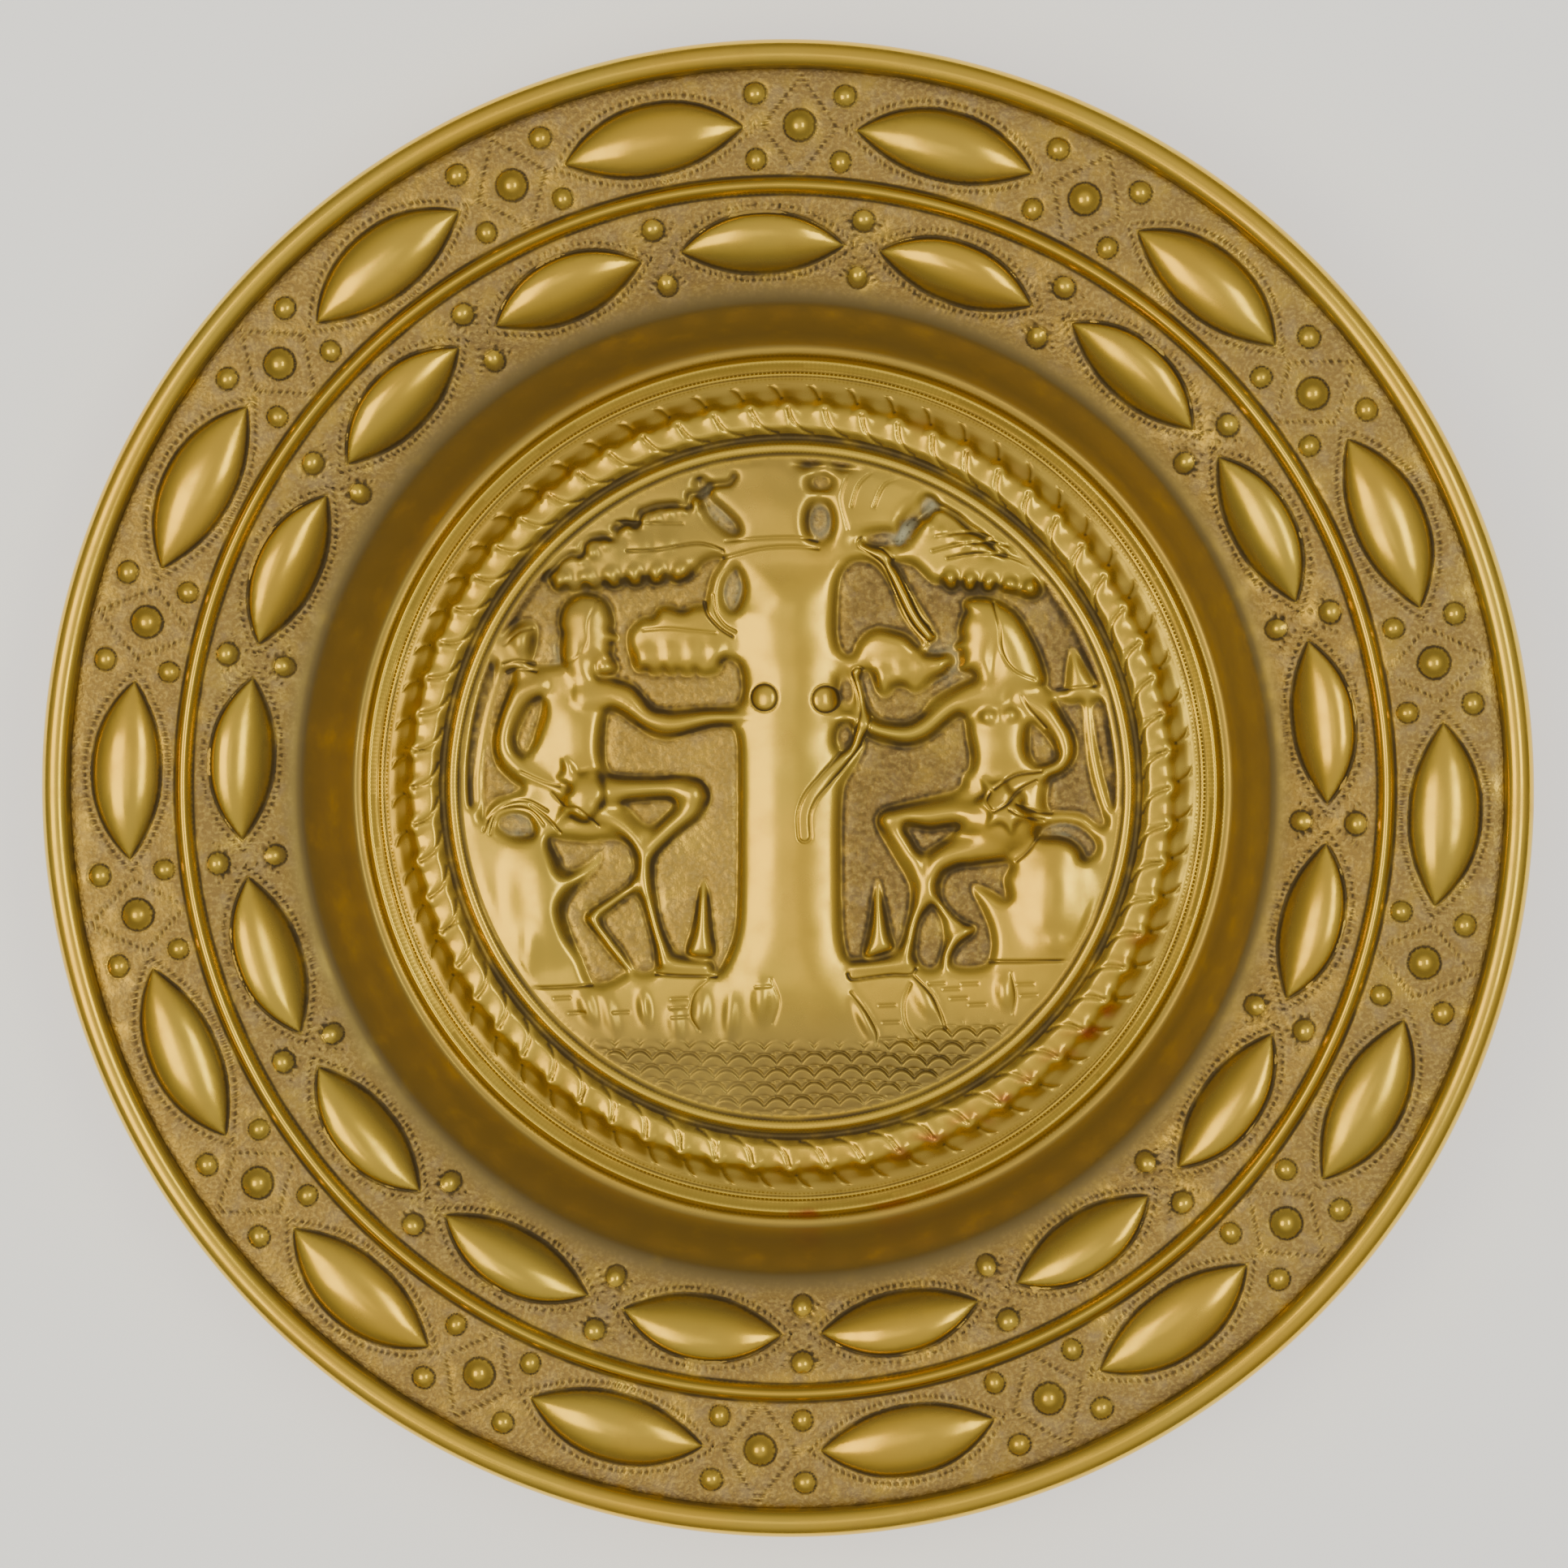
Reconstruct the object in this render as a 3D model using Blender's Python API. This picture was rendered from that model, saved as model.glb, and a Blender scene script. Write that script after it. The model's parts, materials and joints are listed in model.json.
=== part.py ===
"""A round charger of embossed sheet brass, lying on its back.

The sheet is a height over the plane that the dish lies on: a turned profile, rings of pressed bosses and
an embossed picture on the floor. Its edge is rolled back into a hollow bead. Lengths are in millimetres
and become metres when a mesh is made.
"""

import math

import bmesh
import bpy
import numpy as np
from mathutils import Vector
from mathutils.geometry import delaunay_2d_cdt

MM = 0.001
FAR = 1e3
HAIR = 0.01

# ---- driving dimensions -------------------------------------------------------------------------
RIM_RADIUS = 200.0
SHEET = 1.0
ROLL_RADIUS = 4.0
ROLL_CREST = 33.6
ROLL_ENTRY = 190.4
PICTURE_RADIUS = 89.2
PICTURE_GROUND = 1.6

# the dish's front from its middle to the rolled edge: radius, height
PROFILE = [(PICTURE_RADIUS, 4.2), (91.0, 5.0), (93.2, 3.7), (95.0, 4.4), (101.7, 5.4), (108.2, 2.6),
           (113.4, 2.2), (115.3, 3.0), (117.2, SHEET), (119.2, SHEET), (122.2, 5.4), (129.4, 19.6),
           (131.4, 21.8), (133.8, 22.8), (158.9, 30.2), (161.2, 32.2), (163.6, 30.6),
           (ROLL_ENTRY, 31.0)]
# sides of the rings of points that hold the profile, out to each radius
RING_SIDES = ((94, 48), (109, 64), (140, 48), (170, 56), (RIM_RADIUS, 72))
# rings too slight to show underneath
FRONT_ONLY = (91.0, 113.4, 115.3, 131.4)
WREATH_RADIUS = 101.7
WREATH_REACH = 6.6
WREATH_LEAVES = 64
WREATH_LIFT = 1.5

# pressed bosses: ring radius, half-length, half-width, height, how many, first one's angle
OUTER_LENSES = (176.8, 24.5, 9.5, 4.6, 14, 14.6)
INNER_LENSES = (146.0, 22.0, 8.3, 4.2, 17, 19.0)
LARGE_BEAD = (4.0, 3.2)
SMALL_BEAD = (2.8, 2.2)
OUTER_BEAD_SPREAD = 8.6
OUTER_BEAD_STEP = 3.8
INNER_BEAD_SPREAD = 7.4

# embossed forms: rise over the sunk ground, width of the rounded edge
FIELD = (2.7, 3.2)
TRUNK_FORM = (4.7, 9.5)
SERPENT_FORM = (3.3, 2.2)
HEAD_FORM = (4.0, 5.5)
SPIKE_FORM = (3.4, 2.4)
LIMB_RISE, LIMB_RISE_PER_WIDTH = 3.1, 0.28
LIMB_EDGE, LIMB_EDGE_PER_WIDTH = 0.4, 0.95
EDGE_SOFTNESS = 0.3
SWELLING_EDGE = 4.0

# how finely the picture's flat triangles follow it
PICTURE_POINTS = 640
PICTURE_SAMPLE = 1.5
PICTURE_MARGIN = 1.4
OUTLINE_STEP = 3.4
TRUNK_CREST = 6.0


# ---- distances: negative inside a shape -------------------------------------------------------
def smooth_line(points, closed=False, steps=5):
    """A curve through the points; a point given twice is a corner."""
    knots = np.array(points, float)
    count = len(knots)
    spans = count if closed else count - 1
    curve = []
    for i in range(spans):
        if closed:
            before, start, end, after = (knots[(i + k) % count] for k in (-1, 0, 1, 2))
        else:
            before, start, end, after = (knots[min(max(i + k, 0), count - 1)] for k in (-1, 0, 1, 2))
        if np.allclose(start, end):
            continue
        leave = (end - before) / 2 if not np.allclose(before, start) else (end - start) / 2
        arrive = (after - start) / 2 if not np.allclose(after, end) else (end - start) / 2
        for t in np.arange(steps) / steps:
            curve.append((2 * t**3 - 3 * t**2 + 1) * start + (t**3 - 2 * t**2 + t) * leave
                         + (3 * t**2 - 2 * t**3) * end + (t**3 - t**2) * arrive)
    if not closed:
        curve.append(knots[-1])
    return np.array(curve)


def near(field, line, margin):
    """The samples within a margin of a line's own box."""
    low, high = line.min(0) - margin, line.max(0) + margin
    return np.flatnonzero(((field > low) & (field < high)).all(1))


def to_line(field, line, reach=4.0):
    """Distance to an open curve, and the share of its length at the nearest place."""
    best, share = np.full(len(field), FAR), np.zeros(len(field))
    index = near(field, line, reach)
    samples = field[index]
    distance, where = np.full(len(samples), FAR), np.zeros(len(samples))
    lengths = np.r_[0, np.cumsum(np.hypot(*np.diff(line, axis=0).T))]
    for k, (start, end) in enumerate(zip(line, line[1:])):
        run = end - start
        along = np.clip((samples - start) @ run / (run @ run + 1e-12), 0, 1)
        gap = np.hypot(*(samples - start - along[:, None] * run).T)
        closer = gap < distance
        distance[closer] = gap[closer]
        where[closer] = (lengths[k] + along * (lengths[k + 1] - lengths[k]))[closer] / lengths[-1]
    best[index], share[index] = distance, where
    return best, share


def patch(field, points, reach=12.0, smooth=True):
    """Signed distance to a closed outline."""
    line = smooth_line(points, closed=True) if smooth else np.array(points, float)
    signed = np.full(len(field), FAR)
    index = near(field, line, reach)
    samples = field[index]
    distance, inside = np.full(len(samples), FAR), np.zeros(len(samples), bool)
    for start, end in zip(line, np.roll(line, -1, axis=0)):
        run = end - start
        along = np.clip((samples - start) @ run / (run @ run + 1e-12), 0, 1)
        distance = np.minimum(distance, np.hypot(*(samples - start - along[:, None] * run).T))
        crosses = (start[1] > samples[:, 1]) != (end[1] > samples[:, 1])
        side = start[0] + (samples[:, 1] - start[1]) * run[0] / (run[1] + 1e-12)
        inside ^= crosses & (samples[:, 0] < side)
    signed[index] = np.where(inside, -distance, distance)
    return signed


def limb(field, points, radii, reach=12.0):
    """Signed distance to a bent limb whose half-width changes along it."""
    distance, share = to_line(field, smooth_line(points), reach)
    return distance - np.interp(share, np.linspace(0, 1, len(radii)), radii)


def oval(field, centre, half, turn=0.0):
    """Signed distance, nearly, to an ellipse turned by an angle in degrees."""
    c, s = math.cos(math.radians(turn)), math.sin(math.radians(turn))
    across = (field - centre) @ np.array([[c, -s], [s, c]])
    size = np.hypot(*(across / half).T)
    return (size - 1) * min(half)


def union(*shapes):
    return np.minimum.reduce(shapes)


# ---- height from distance ---------------------------------------------------------------------
def cushion(signed, edge):
    """0 outside, rising in a quarter-round over the edge width to 1 inside."""
    depth = np.clip(-signed, 0, None)
    depth = depth * depth / (depth + EDGE_SOFTNESS)
    share = np.clip(depth / edge, 0, 1)
    return np.sqrt(1 - (1 - share) ** 2)


def swell(field, centre, half, turn=0.0):
    """A soft rise that fades to nothing at an ellipse."""
    c, s = math.cos(math.radians(turn)), math.sin(math.radians(turn))
    across = (field - centre) @ np.array([[c, -s], [s, c]])
    size = np.clip(np.hypot(*(across / half).T), 0, 1)
    return (1 - size**2) ** 2


# ---- the sunk ground: what lies between the raised forms ---------------------------------------
def scallops(start, end, count, bulge):
    """Points along an edge of rounded leaves; a positive bulge is to the right of the way there."""
    start, end = np.array(start, float), np.array(end, float)
    side = (end - start)[::-1] * (1, -1) / np.hypot(*(end - start))
    points = []
    for k in range(count):
        for share, out in ((0.0, 0.0), (0.28, 0.8), (0.72, 0.8)):
            points.append(start + (end - start) * (k + share) / count + side * bulge * out)
    return [tuple(p) for p in points]


SKY_LEFT = [(-68.3, 60.3), (-66, 56), (-63.5, 53), *scallops((-61, 54), (-28, 57), 6, 1.6), (-25.3, 58),
            (-23.5, 60.6), (-20.5, 62), (-18.7, 61.4), (-21, 57.5), (-22.3, 53), (-23.2, 49.8),
            (-26, 49.3), (-29, 48.1), (-32.5, 49.1), (-35.5, 48.8), (-37.5, 46.4), (-40.5, 45.7),
            (-43.8, 42.5), (-44.2, 38), (-43, 33), (-44, 29.5), (-49, 30.3), (-54, 31), (-61, 33.3),
            (-66, 32.8), (-70, 33.2), (-69.1, 38), (-68.8, 43), (-70.8, 45.2), (-75, 44.2), (-79, 41.3),
            (-81.3, 41), (-80, 45.5), (-76, 52.3), (-72, 57)]
MOAT_LEFT = [(-46, 36), (-43.5, 34), (-41.8, 31.3), *scallops((-39, 31.3), (-21, 31), 4, 1.0),
             (-19.2, 31.2), (-18, 33.6), (-16, 34.5), (-13.9, 33), (-12.9, 29.5), (-13, 25),
             (-14.8, 22.3), (-20, 21.7), (-28, 21.3), (-34.5, 21), (-37.5, 22), (-40, 25),
             (-43.5, 28.4), (-48, 30.4)]
TRUNK_EYE = [(-14.5, 59), (-17, 56.5), (-18, 52.5), (-17, 49), (-15.3, 48), (-13.5, 51), (-12.9, 55)]
UNDER_ARM_LEFT = [(-49.3, 20.2), (-50.3, 14), (-50.4, 8), (-49.2, 4.4), (-46, 3), (-36, 2.9),
                  (-28, 3.4), (-23.6, 1.6), (-21.6, -2.6), (-23.2, -7.4), (-29, -12), (-34, -16.6),
                  (-36.8, -21), (-36.4, -30), (-34.7, -38), (-32, -43.6), (-29, -45.6), (-22, -46.2),
                  (-20.2, -49.8), (-18.4, -48.4), (-15.6, -42), (-14.3, -34), (-14, -15), (-14, 6),
                  (-14.4, 13), (-16, 16), (-20, 16.4), (-26, 15), (-33, 13), (-38, 14), (-43, 17.4),
                  (-46.6, 20)]
THIGHS_LEFT = [(-44.8, -4.6), (-39, -3.7), (-33, -3.6), (-32, -5), (-34.5, -8), (-37.6, -10.4),
               (-40, -9.8), (-43, -6.8)]
BEHIND_LEG_LEFT = [(-65, -14.2), (-63.5, -19), (-61.3, -22.8), (-58, -22.6), (-54, -20.2), (-51.7, -18),
                   (-52.4, -21.4), (-56, -25.6), (-60, -30), (-61.5, -34), (-60, -40), (-57, -46),
                   (-54, -53), (-50, -53.3), (-46.5, -51.6), (-44.6, -50), (-48, -46.6), (-52.4, -41),
                   (-56, -36), (-54, -33.4), (-49, -30), (-44.5, -27), (-42.3, -23.5), (-42.2, -19.5),
                   (-44, -16), (-48, -14.2), (-55, -14.8), (-60, -14.4)]
BETWEEN_LEGS_LEFT = [(-43.4, -29.4), (-48, -33), (-51, -36.6), (-48.6, -40.8), (-45.3, -45),
                     (-42.6, -49.6), (-39, -50.6), (-36.7, -49), (-37, -44), (-38.4, -38),
                     (-39.7, -33.4), (-41, -30.4)]
ELBOW_LEFT = [(-68.2, 23.6), (-67.7, 20.6), (-69, 16), (-70.6, 11), (-72.3, 9), (-74.2, 10.4),
              (-74.4, 13.6), (-72.6, 18), (-70.6, 21.6)]
STEM_OUTER_LEFT = [(-82.3, 34.5), (-84.8, 26), (-86.8, 15), (-87.8, 5), (-87.2, -4), (-86, -4),
                   (-86.1, 2), (-85, 10), (-83.2, 20), (-80.4, 30)]
STEM_INNER_LEFT = [(-78, 30.6), (-75.6, 31), (-77, 26), (-79.6, 19), (-81, 12), (-80, 5.6), (-76, 1.6),
                   (-73.4, -0.4), (-76, -2.2), (-80, -3.4), (-82.6, -6), (-83.6, -8.6), (-84, -2),
                   (-83.8, 6), (-82.4, 16), (-80.4, 24)]
PLUME_LEFT = [(-79.4, -11), (-78.6, -8.4), (-75, -7.3), (-71.4, -8.6), (-70, -12), (-71.4, -13.2),
              (-76, -13.3)]
BUD_TOP = [(-23.7, 83), (-22, 80.6), (-21.4, 77.4), (-18, 74.6), (-14.8, 71.4), (-14.3, 69.6),
           (-15.8, 69), (-19, 70.4), (-22, 73.2), (-23.8, 77), (-24.2, 80.6)]
SERPENT_LEFT = [(18.5, 61.4), (15.6, 59.7), (13.6, 56), (13, 50), (12.8, 43), (13.6, 38.4), (15.4, 36),
                (17.2, 36.4), (18.4, 39.2), (20.8, 42), (24, 43.3), (28, 42.7), (32, 41.3),
                (35.4, 38.2), (35.6, 39.8), (32.6, 43.6), (30.2, 47.4), (28.4, 52.4), (26, 57),
                (22.6, 60.6)]
SKY_RIGHT = [(28.4, 61), (33, 60.2), (36, 57.8), (38.6, 55.4), *scallops((41.5, 55), (61, 54), 4, 1.6),
             (63, 51.4), (66, 51), (68.4, 52.4), (69, 55.6), (68.5, 59), (70.2, 59), (73.6, 54),
             (78.6, 46), (82.4, 38), (85, 29), (83.4, 28.4), (80.6, 32.4), (77.6, 37), (76, 37),
             (75, 32), (74.4, 27), (71.6, 25.8), (69, 28), (62, 32), (50, 31), (46, 29.5), (43, 31),
             (45.2, 34), (43.6, 36.5), (40, 36.2), (37.2, 36.8), (38, 38.6), (39.9, 40.4), (38.6, 43.6),
             (35.4, 48.8), (32, 54.6), (29.6, 59)]
MOAT_RIGHT = [(20.6, 31.5), (19.2, 29.6), (20, 26), (21.2, 21.8), (23.4, 19), (27, 17.8), (32, 17.8),
              (35.6, 20), (38.2, 23.4), (42, 26.2), (46, 28.4), (49.8, 30.2), (50, 32.6), (48, 34),
              (44.6, 32.6), (43, 31), (39.5, 29), (37, 26.9), (33.8, 25.7), (31.4, 27), (28.9, 27),
              (27.3, 25.2), (25, 24.7), (23.2, 27), (22.3, 30.2)]
UNDER_ARM_RIGHT = [(21, 13.4), (25, 12.3), (31, 11.2), (35, 11.8), (39, 14), (43, 17.4), (46, 19.4),
                   (47.6, 18), (48.1, 14), (49.1, 9), (48.8, 5.4), (47.2, 3.4), (46.6, 0.8), (44, -1.2),
                   (38, -2.6), (31, -4.2), (26, -5.8), (23.8, -8), (24.2, -11.4), (28, -18),
                   (31.8, -24.4), (32.9, -28.4), (32.4, -34), (30.8, -41), (28, -44.2), (24, -45.7),
                   (19, -46.4), (16.4, -46.2), (15, -43), (14.2, -36), (14, -22), (14, -8), (14.8, 0.4),
                   (17.6, 5.6), (20, 10.4)]
THIGHS_RIGHT = [(32, -10.6), (38, -11.3), (45.2, -10.6), (42, -14), (37.6, -16.9), (35.4, -17),
                (33.4, -14)]
BETWEEN_LEGS_RIGHT = [(38.8, -32.4), (41, -35), (42, -40), (41.4, -45), (39.6, -48.6), (36.6, -48.6),
                      (34.6, -46), (34.4, -41), (35.8, -35.6)]
BEHIND_LEG_RIGHT = [(46, -21.4), (52, -20.9), (59.4, -20.4), (58.2, -24.6), (58.6, -29.8), (55, -28),
                    (52, -26.7), (50, -26.6), (50.2, -29), (52.4, -33.4), (54.4, -38.6), (54.8, -43),
                    (53.8, -47), (51, -48.4), (46, -48.4), (44.2, -46.8), (45, -44.2), (47.4, -41.6),
                    (50, -39.4), (50.4, -37.6), (47, -36.2), (44, -33.8), (41.6, -30.6), (41.1, -27),
                    (42.4, -23.4)]
ELBOW_RIGHT = [(65.8, 17.1), (69, 14.6), (71.6, 11), (72, 8.4), (69.6, 7), (67, 6.8), (65.4, 9),
               (65, 12.6)]
BACK_RIGHT = [(72.4, 23.6), (76, 22.7), (79.4, 22.4), (80, 15), (80.8, 8), (82.2, 1), (84.6, -6.4),
              (85.2, -9.4), (83.6, -10), (79.6, -7), (74, -6.3), (70.4, -6), (69.7, -2), (70.6, 2.2),
              (74, 4), (77, 7), (78, 11), (77, 15), (74.6, 19)]
STEM_OUTER_RIGHT = [(82, 22.4), (86, 22.6), (87, 15), (88.6, 5), (88.6, -3), (87.3, -4.6), (85.6, 1),
                    (83.9, 8), (82.6, 15)]
PLUME_RIGHT = [(67.8, -12.4), (70, -10.2), (74, -9.3), (78, -10), (81.6, -12.6), (83.2, -15.6),
               (82.2, -18), (80.4, -18.5), (79, -16), (76.4, -13.8), (73, -12.8)]
POCKETS = [SKY_LEFT, MOAT_LEFT, TRUNK_EYE, UNDER_ARM_LEFT, THIGHS_LEFT, BEHIND_LEG_LEFT,
           BETWEEN_LEGS_LEFT, ELBOW_LEFT, STEM_OUTER_LEFT, STEM_INNER_LEFT, PLUME_LEFT, BUD_TOP,
           SERPENT_LEFT, SKY_RIGHT, MOAT_RIGHT, UNDER_ARM_RIGHT, THIGHS_RIGHT, BETWEEN_LEGS_RIGHT,
           BEHIND_LEG_RIGHT, ELBOW_RIGHT, BACK_RIGHT, STEM_OUTER_RIGHT, PLUME_RIGHT]
FRUIT_HOLES = [((8.5, 72), (3.4, 5.2), 0), ((8.5, 83), (2.8, 2.2), 0), ((6, 88), (2.6, 1.4), 0),
               ((14.5, 88), (3, 1.6), 0), ((25.6, 67.5), (5, 2.4), 4), ((33, 70.4), (2.2, 4.4), -28),
               ((38.4, 76.5), (1.8, 2.6), -20), ((15.4, 26), (2, 3.7), 4), ((15, 13.8), (2.1, 3.4), -8)]

HEAD_OUTLINE = [(0.24, 0.0), (0.3, 0.05), (0.275, 0.125), (0.31, 0.165), (0.292, 0.195), (0.32, 0.225),
                (0.3, 0.27), (0.395, 0.315), (0.315, 0.46), (0.335, 0.53), (0.325, 0.68), (0.25, 0.86),
                (0.08, 0.98), (-0.15, 0.99), (-0.36, 0.84), (-0.44, 0.6), (-0.38, 0.36), (-0.3, 0.16),
                (-0.34, -0.1), (-0.3, -0.35), (0.12, -0.35), (0.08, -0.12), (0.12, -0.02)]


def head_outline(chin, height, facing, tilt):
    """A head in profile with its neck, from the chin up, by the usual divisions of a head's height."""
    c, s = math.cos(math.radians(tilt)), math.sin(math.radians(tilt))
    points = np.array(HEAD_OUTLINE) * height
    points = points @ np.array([[c, s], [-s, c]]) * (facing, 1)
    return [tuple(p) for p in points + chin]


ADAM_HEAD = head_outline((-56.3, 33.4), 19.4, 1, 4)
EVE_HEAD = head_outline((51.6, 31.2), 19.4, -1, 4)
EVE_HAIR = [(46.5, 49.6), (50.5, 51.6), (56, 51), (61.6, 47.4), (66, 40.4), (69, 33), (69.2, 27.6),
            (66, 28.6), (60.5, 31), (57, 36), (54, 42), (49, 47)]
# each limb: the places along its middle, and its half-widths from one end to the other
ADAM_LIMBS = [
    ([(-55, 25), (-50, 24.8), (-44, 23.4), (-38, 19), (-32, 17.1), (-22, 18.6), (-12, 19), (-6, 18.4)],
     (5, 4.4, 3.8, 3.3, 3, 2.2, 1.6)),
    ([(-68, 27.5), (-73.5, 25), (-77.5, 18), (-78, 11), (-73.5, 5), (-66, 1), (-60, -2.5)],
     (3.5, 3.6, 3.4, 3.2, 2.6, 2)),
    ([(-55, -2), (-44, -0.6), (-34, -0.4), (-27, -1.6)], (6, 4, 3.6, 4.4)),
    ([(-25.5, -2), (-28, -7), (-33.5, -12), (-38.5, -17.5), (-39.6, -24), (-38, -33), (-35.5, -42),
      (-34, -47)], (4, 3, 2.8, 2.6, 2.4, 2.2, 2.6)),
    ([(-56, -6), (-47, -9.6), (-41.6, -14.6), (-40, -20), (-42, -25.2)], (4.5, 3.4, 2.6, 2.4, 2)),
    ([(-42, -26.6), (-48.6, -31), (-53.6, -35.2), (-49.6, -41), (-44, -48.6)], (1.6, 1.8, 1.9, 1.6, 1.6)),
    ([(-33.5, -48), (-28, -48.6), (-21.6, -49)], (2.6, 2.2, 1.4))]
EVE_LIMBS = [
    ([(56, 26), (50, 24.6), (44, 21.4), (38, 17), (32, 14.6), (25, 15.8), (18, 18), (10, 18.8)],
     (5, 4.2, 3.6, 3.2, 3, 2.6, 1.5)),
    ([(63, 24.5), (69.5, 20.8), (73.6, 15), (74.4, 9), (70, 4.4), (62.5, 1.4), (56.5, -3)],
     (3.2, 3.2, 3, 2.8, 2.6, 3)),
    ([(60, -10), (50, -8), (40, -7.4), (28, -8.6)], (8, 6, 4, 3.2)),
    ([(27, -9), (31, -14), (34.5, -20), (36.4, -26), (35.6, -33), (33, -40), (31.6, -46)],
     (3.2, 3, 2.6, 2.6, 2, 2)),
    ([(56, -14), (48, -17), (41, -19.6), (38, -25), (38.6, -29.5)], (6, 4.4, 4, 3, 2.4)),
    ([(40.4, -30.6), (44.6, -35), (48.4, -37.8), (45, -41), (42.8, -45), (42.4, -48.6)],
     (1.7, 1.8, 2.2, 1.5, 1.2)),
    ([(32, -47.4), (25, -48.2), (17, -48.8)], (2.6, 2.2, 1.6))]
TRUNK = [(-15, 62), (-14.4, 40), (-14, 10), (-14, -15), (-14.4, -34), (-16, -43), (-19, -49.6),
         (-21, -60), (-12, -72), (12, -72), (19, -60), (16.8, -49), (15, -42), (14, -30), (14, 0),
         (13.4, 30), (13, 50), (14.6, 62)]
SERPENT = [(20, 66), (26, 62), (28.6, 57.6), (31.2, 51.6), (34.4, 45.4), (38.4, 40.8)]
SERPENT_RADII = (2.4, 2.3, 1.3)
SPIKES = [[(-28, -45.8), (-26.4, -38), (-24.8, -29), (-23.4, -25.3), (-22, -30), (-21, -38), (-20.6, -46.2)],
          [(20.4, -46.2), (21.6, -38), (23, -29), (24, -25.3), (25.8, -32), (27.4, -39), (28.2, -44.2)]]
SWELLINGS = [  # soft rises on the raised forms: centre, half-sizes, turn, rise
    ((-67, -30), (13, 22), 8, 2.6), ((71.5, -28), (13, 22), -4, 2.6), ((-58, 14), (12, 17), 4, 1.6),
    ((-57, -4), (11, 9), 0, 1.2), ((57, 12), (11, 14), 0, 1.4), ((58, -6), (13, 12), 0, 1.6),
    ((0, 74), (26, 18), 0, 0.8), ((-42, 63), (26, 10), 4, 0.9), ((48, 64), (22, 9), -8, 0.9)]


def picture_height(field):
    """Height of the embossed picture over its sunk ground, at each (x, y)."""
    pocket = union(*(patch(field, points) for points in POCKETS),
                   *(oval(field, *hole) for hole in FRUIT_HOLES))
    heads = [patch(field, outline) for outline in (ADAM_HEAD, EVE_HEAD, EVE_HAIR)]
    spikes = [patch(field, outline) for outline in SPIKES]
    solid = np.minimum(-pocket, union(*heads, *spikes))

    def form(signed, rise, edge):
        return rise * cushion(np.maximum(signed, solid), edge)

    parts = [form(-FAR, *FIELD), form(patch(field, TRUNK), *TRUNK_FORM),
             form(limb(field, SERPENT, SERPENT_RADII), *SERPENT_FORM)]
    for path, radii in ADAM_LIMBS + EVE_LIMBS:
        rise = LIMB_RISE + LIMB_RISE_PER_WIDTH * max(radii)
        edge = LIMB_EDGE + LIMB_EDGE_PER_WIDTH * float(np.mean(radii))
        parts.append(form(limb(field, path, radii), rise, edge))
    parts += [form(head, *HEAD_FORM) for head in heads]
    parts += [form(spike, *SPIKE_FORM) for spike in spikes]
    height = np.maximum.reduce(parts)
    shaded = cushion(solid, SWELLING_EDGE)
    for centre, half, turn, rise in SWELLINGS:
        height += rise * swell(field, centre, half, turn) * shaded
    return height


# ---- bosses, beads and wreath -------------------------------------------------------------------
def polar(radius, degrees):
    """A place on the dish, its angle running clockwise from the top of the picture."""
    return radius * math.sin(math.radians(degrees)), radius * math.cos(math.radians(degrees))


def lens_angles(lenses):
    count, first = lenses[4:]
    return [first + 360 * k / count for k in range(count)]


def beads():
    """Centre, radius and height of every bead between the lenses."""
    found = []
    for angle in lens_angles(OUTER_LENSES):
        middle = angle + 180 / OUTER_LENSES[4]
        found.append((polar(OUTER_LENSES[0], middle), *LARGE_BEAD))
        for step in (-OUTER_BEAD_STEP, OUTER_BEAD_STEP):
            for spread in (-OUTER_BEAD_SPREAD, OUTER_BEAD_SPREAD):
                found.append((polar(OUTER_LENSES[0] + spread, middle + step), *SMALL_BEAD))
    for angle in lens_angles(INNER_LENSES):
        middle = angle + 180 / INNER_LENSES[4]
        for spread in (-INNER_BEAD_SPREAD, INNER_BEAD_SPREAD):
            found.append((polar(INNER_LENSES[0] + spread, middle), *SMALL_BEAD))
    return found


def lens_height(field, lenses):
    ring, half_length, half_width, rise, count, first = lenses
    angle = np.degrees(np.arctan2(field[:, 0], field[:, 1])) - first
    along = np.radians((angle + 180 / count) % (360 / count) - 180 / count) * ring / half_length
    width = np.clip(1 - along**2, 1e-9, None)
    across = (np.hypot(*field.T) - ring) / (half_width * width)
    return rise * np.clip(1 - across**2, 0, 1) ** 0.5 * width**0.6


def bead_height(field):
    height = np.zeros(len(field))
    for centre, radius, rise in beads():
        gap = np.hypot(*(field - centre).T) / radius
        height += rise * np.sqrt(np.clip(1 - gap**2, 0, 1))
    return height


def wreath_height(field):
    radius = np.hypot(*field.T)
    angle = np.arctan2(field[:, 0], field[:, 1])
    rise = np.clip(1 - np.abs(radius - WREATH_RADIUS) / WREATH_REACH, 0, 1)
    return WREATH_LIFT * rise * 0.5 * (1 + np.cos(WREATH_LEAVES * angle))


# ---- the sheet's two faces ----------------------------------------------------------------------
def underside_profile():
    """The profile moved one sheet along its normal, with the flat ring and the picture's edge kept level."""
    radius, height = np.array(PROFILE).T
    slope = np.arctan2(np.gradient(height), np.gradient(radius))
    slope[(height == SHEET) | (radius <= 95)] = 0
    return list(zip(radius + SHEET * np.sin(slope), height - SHEET * np.cos(slope)))


def front_height(field):
    radius = np.hypot(*field.T)
    height = np.interp(radius, *zip(*PROFILE)) + wreath_height(field) + bead_height(field)
    height += lens_height(field, OUTER_LENSES) + lens_height(field, INNER_LENSES)
    inner = radius < PICTURE_RADIUS - HAIR
    height[inner] = PICTURE_GROUND + picture_height(field[inner])
    return height


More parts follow.
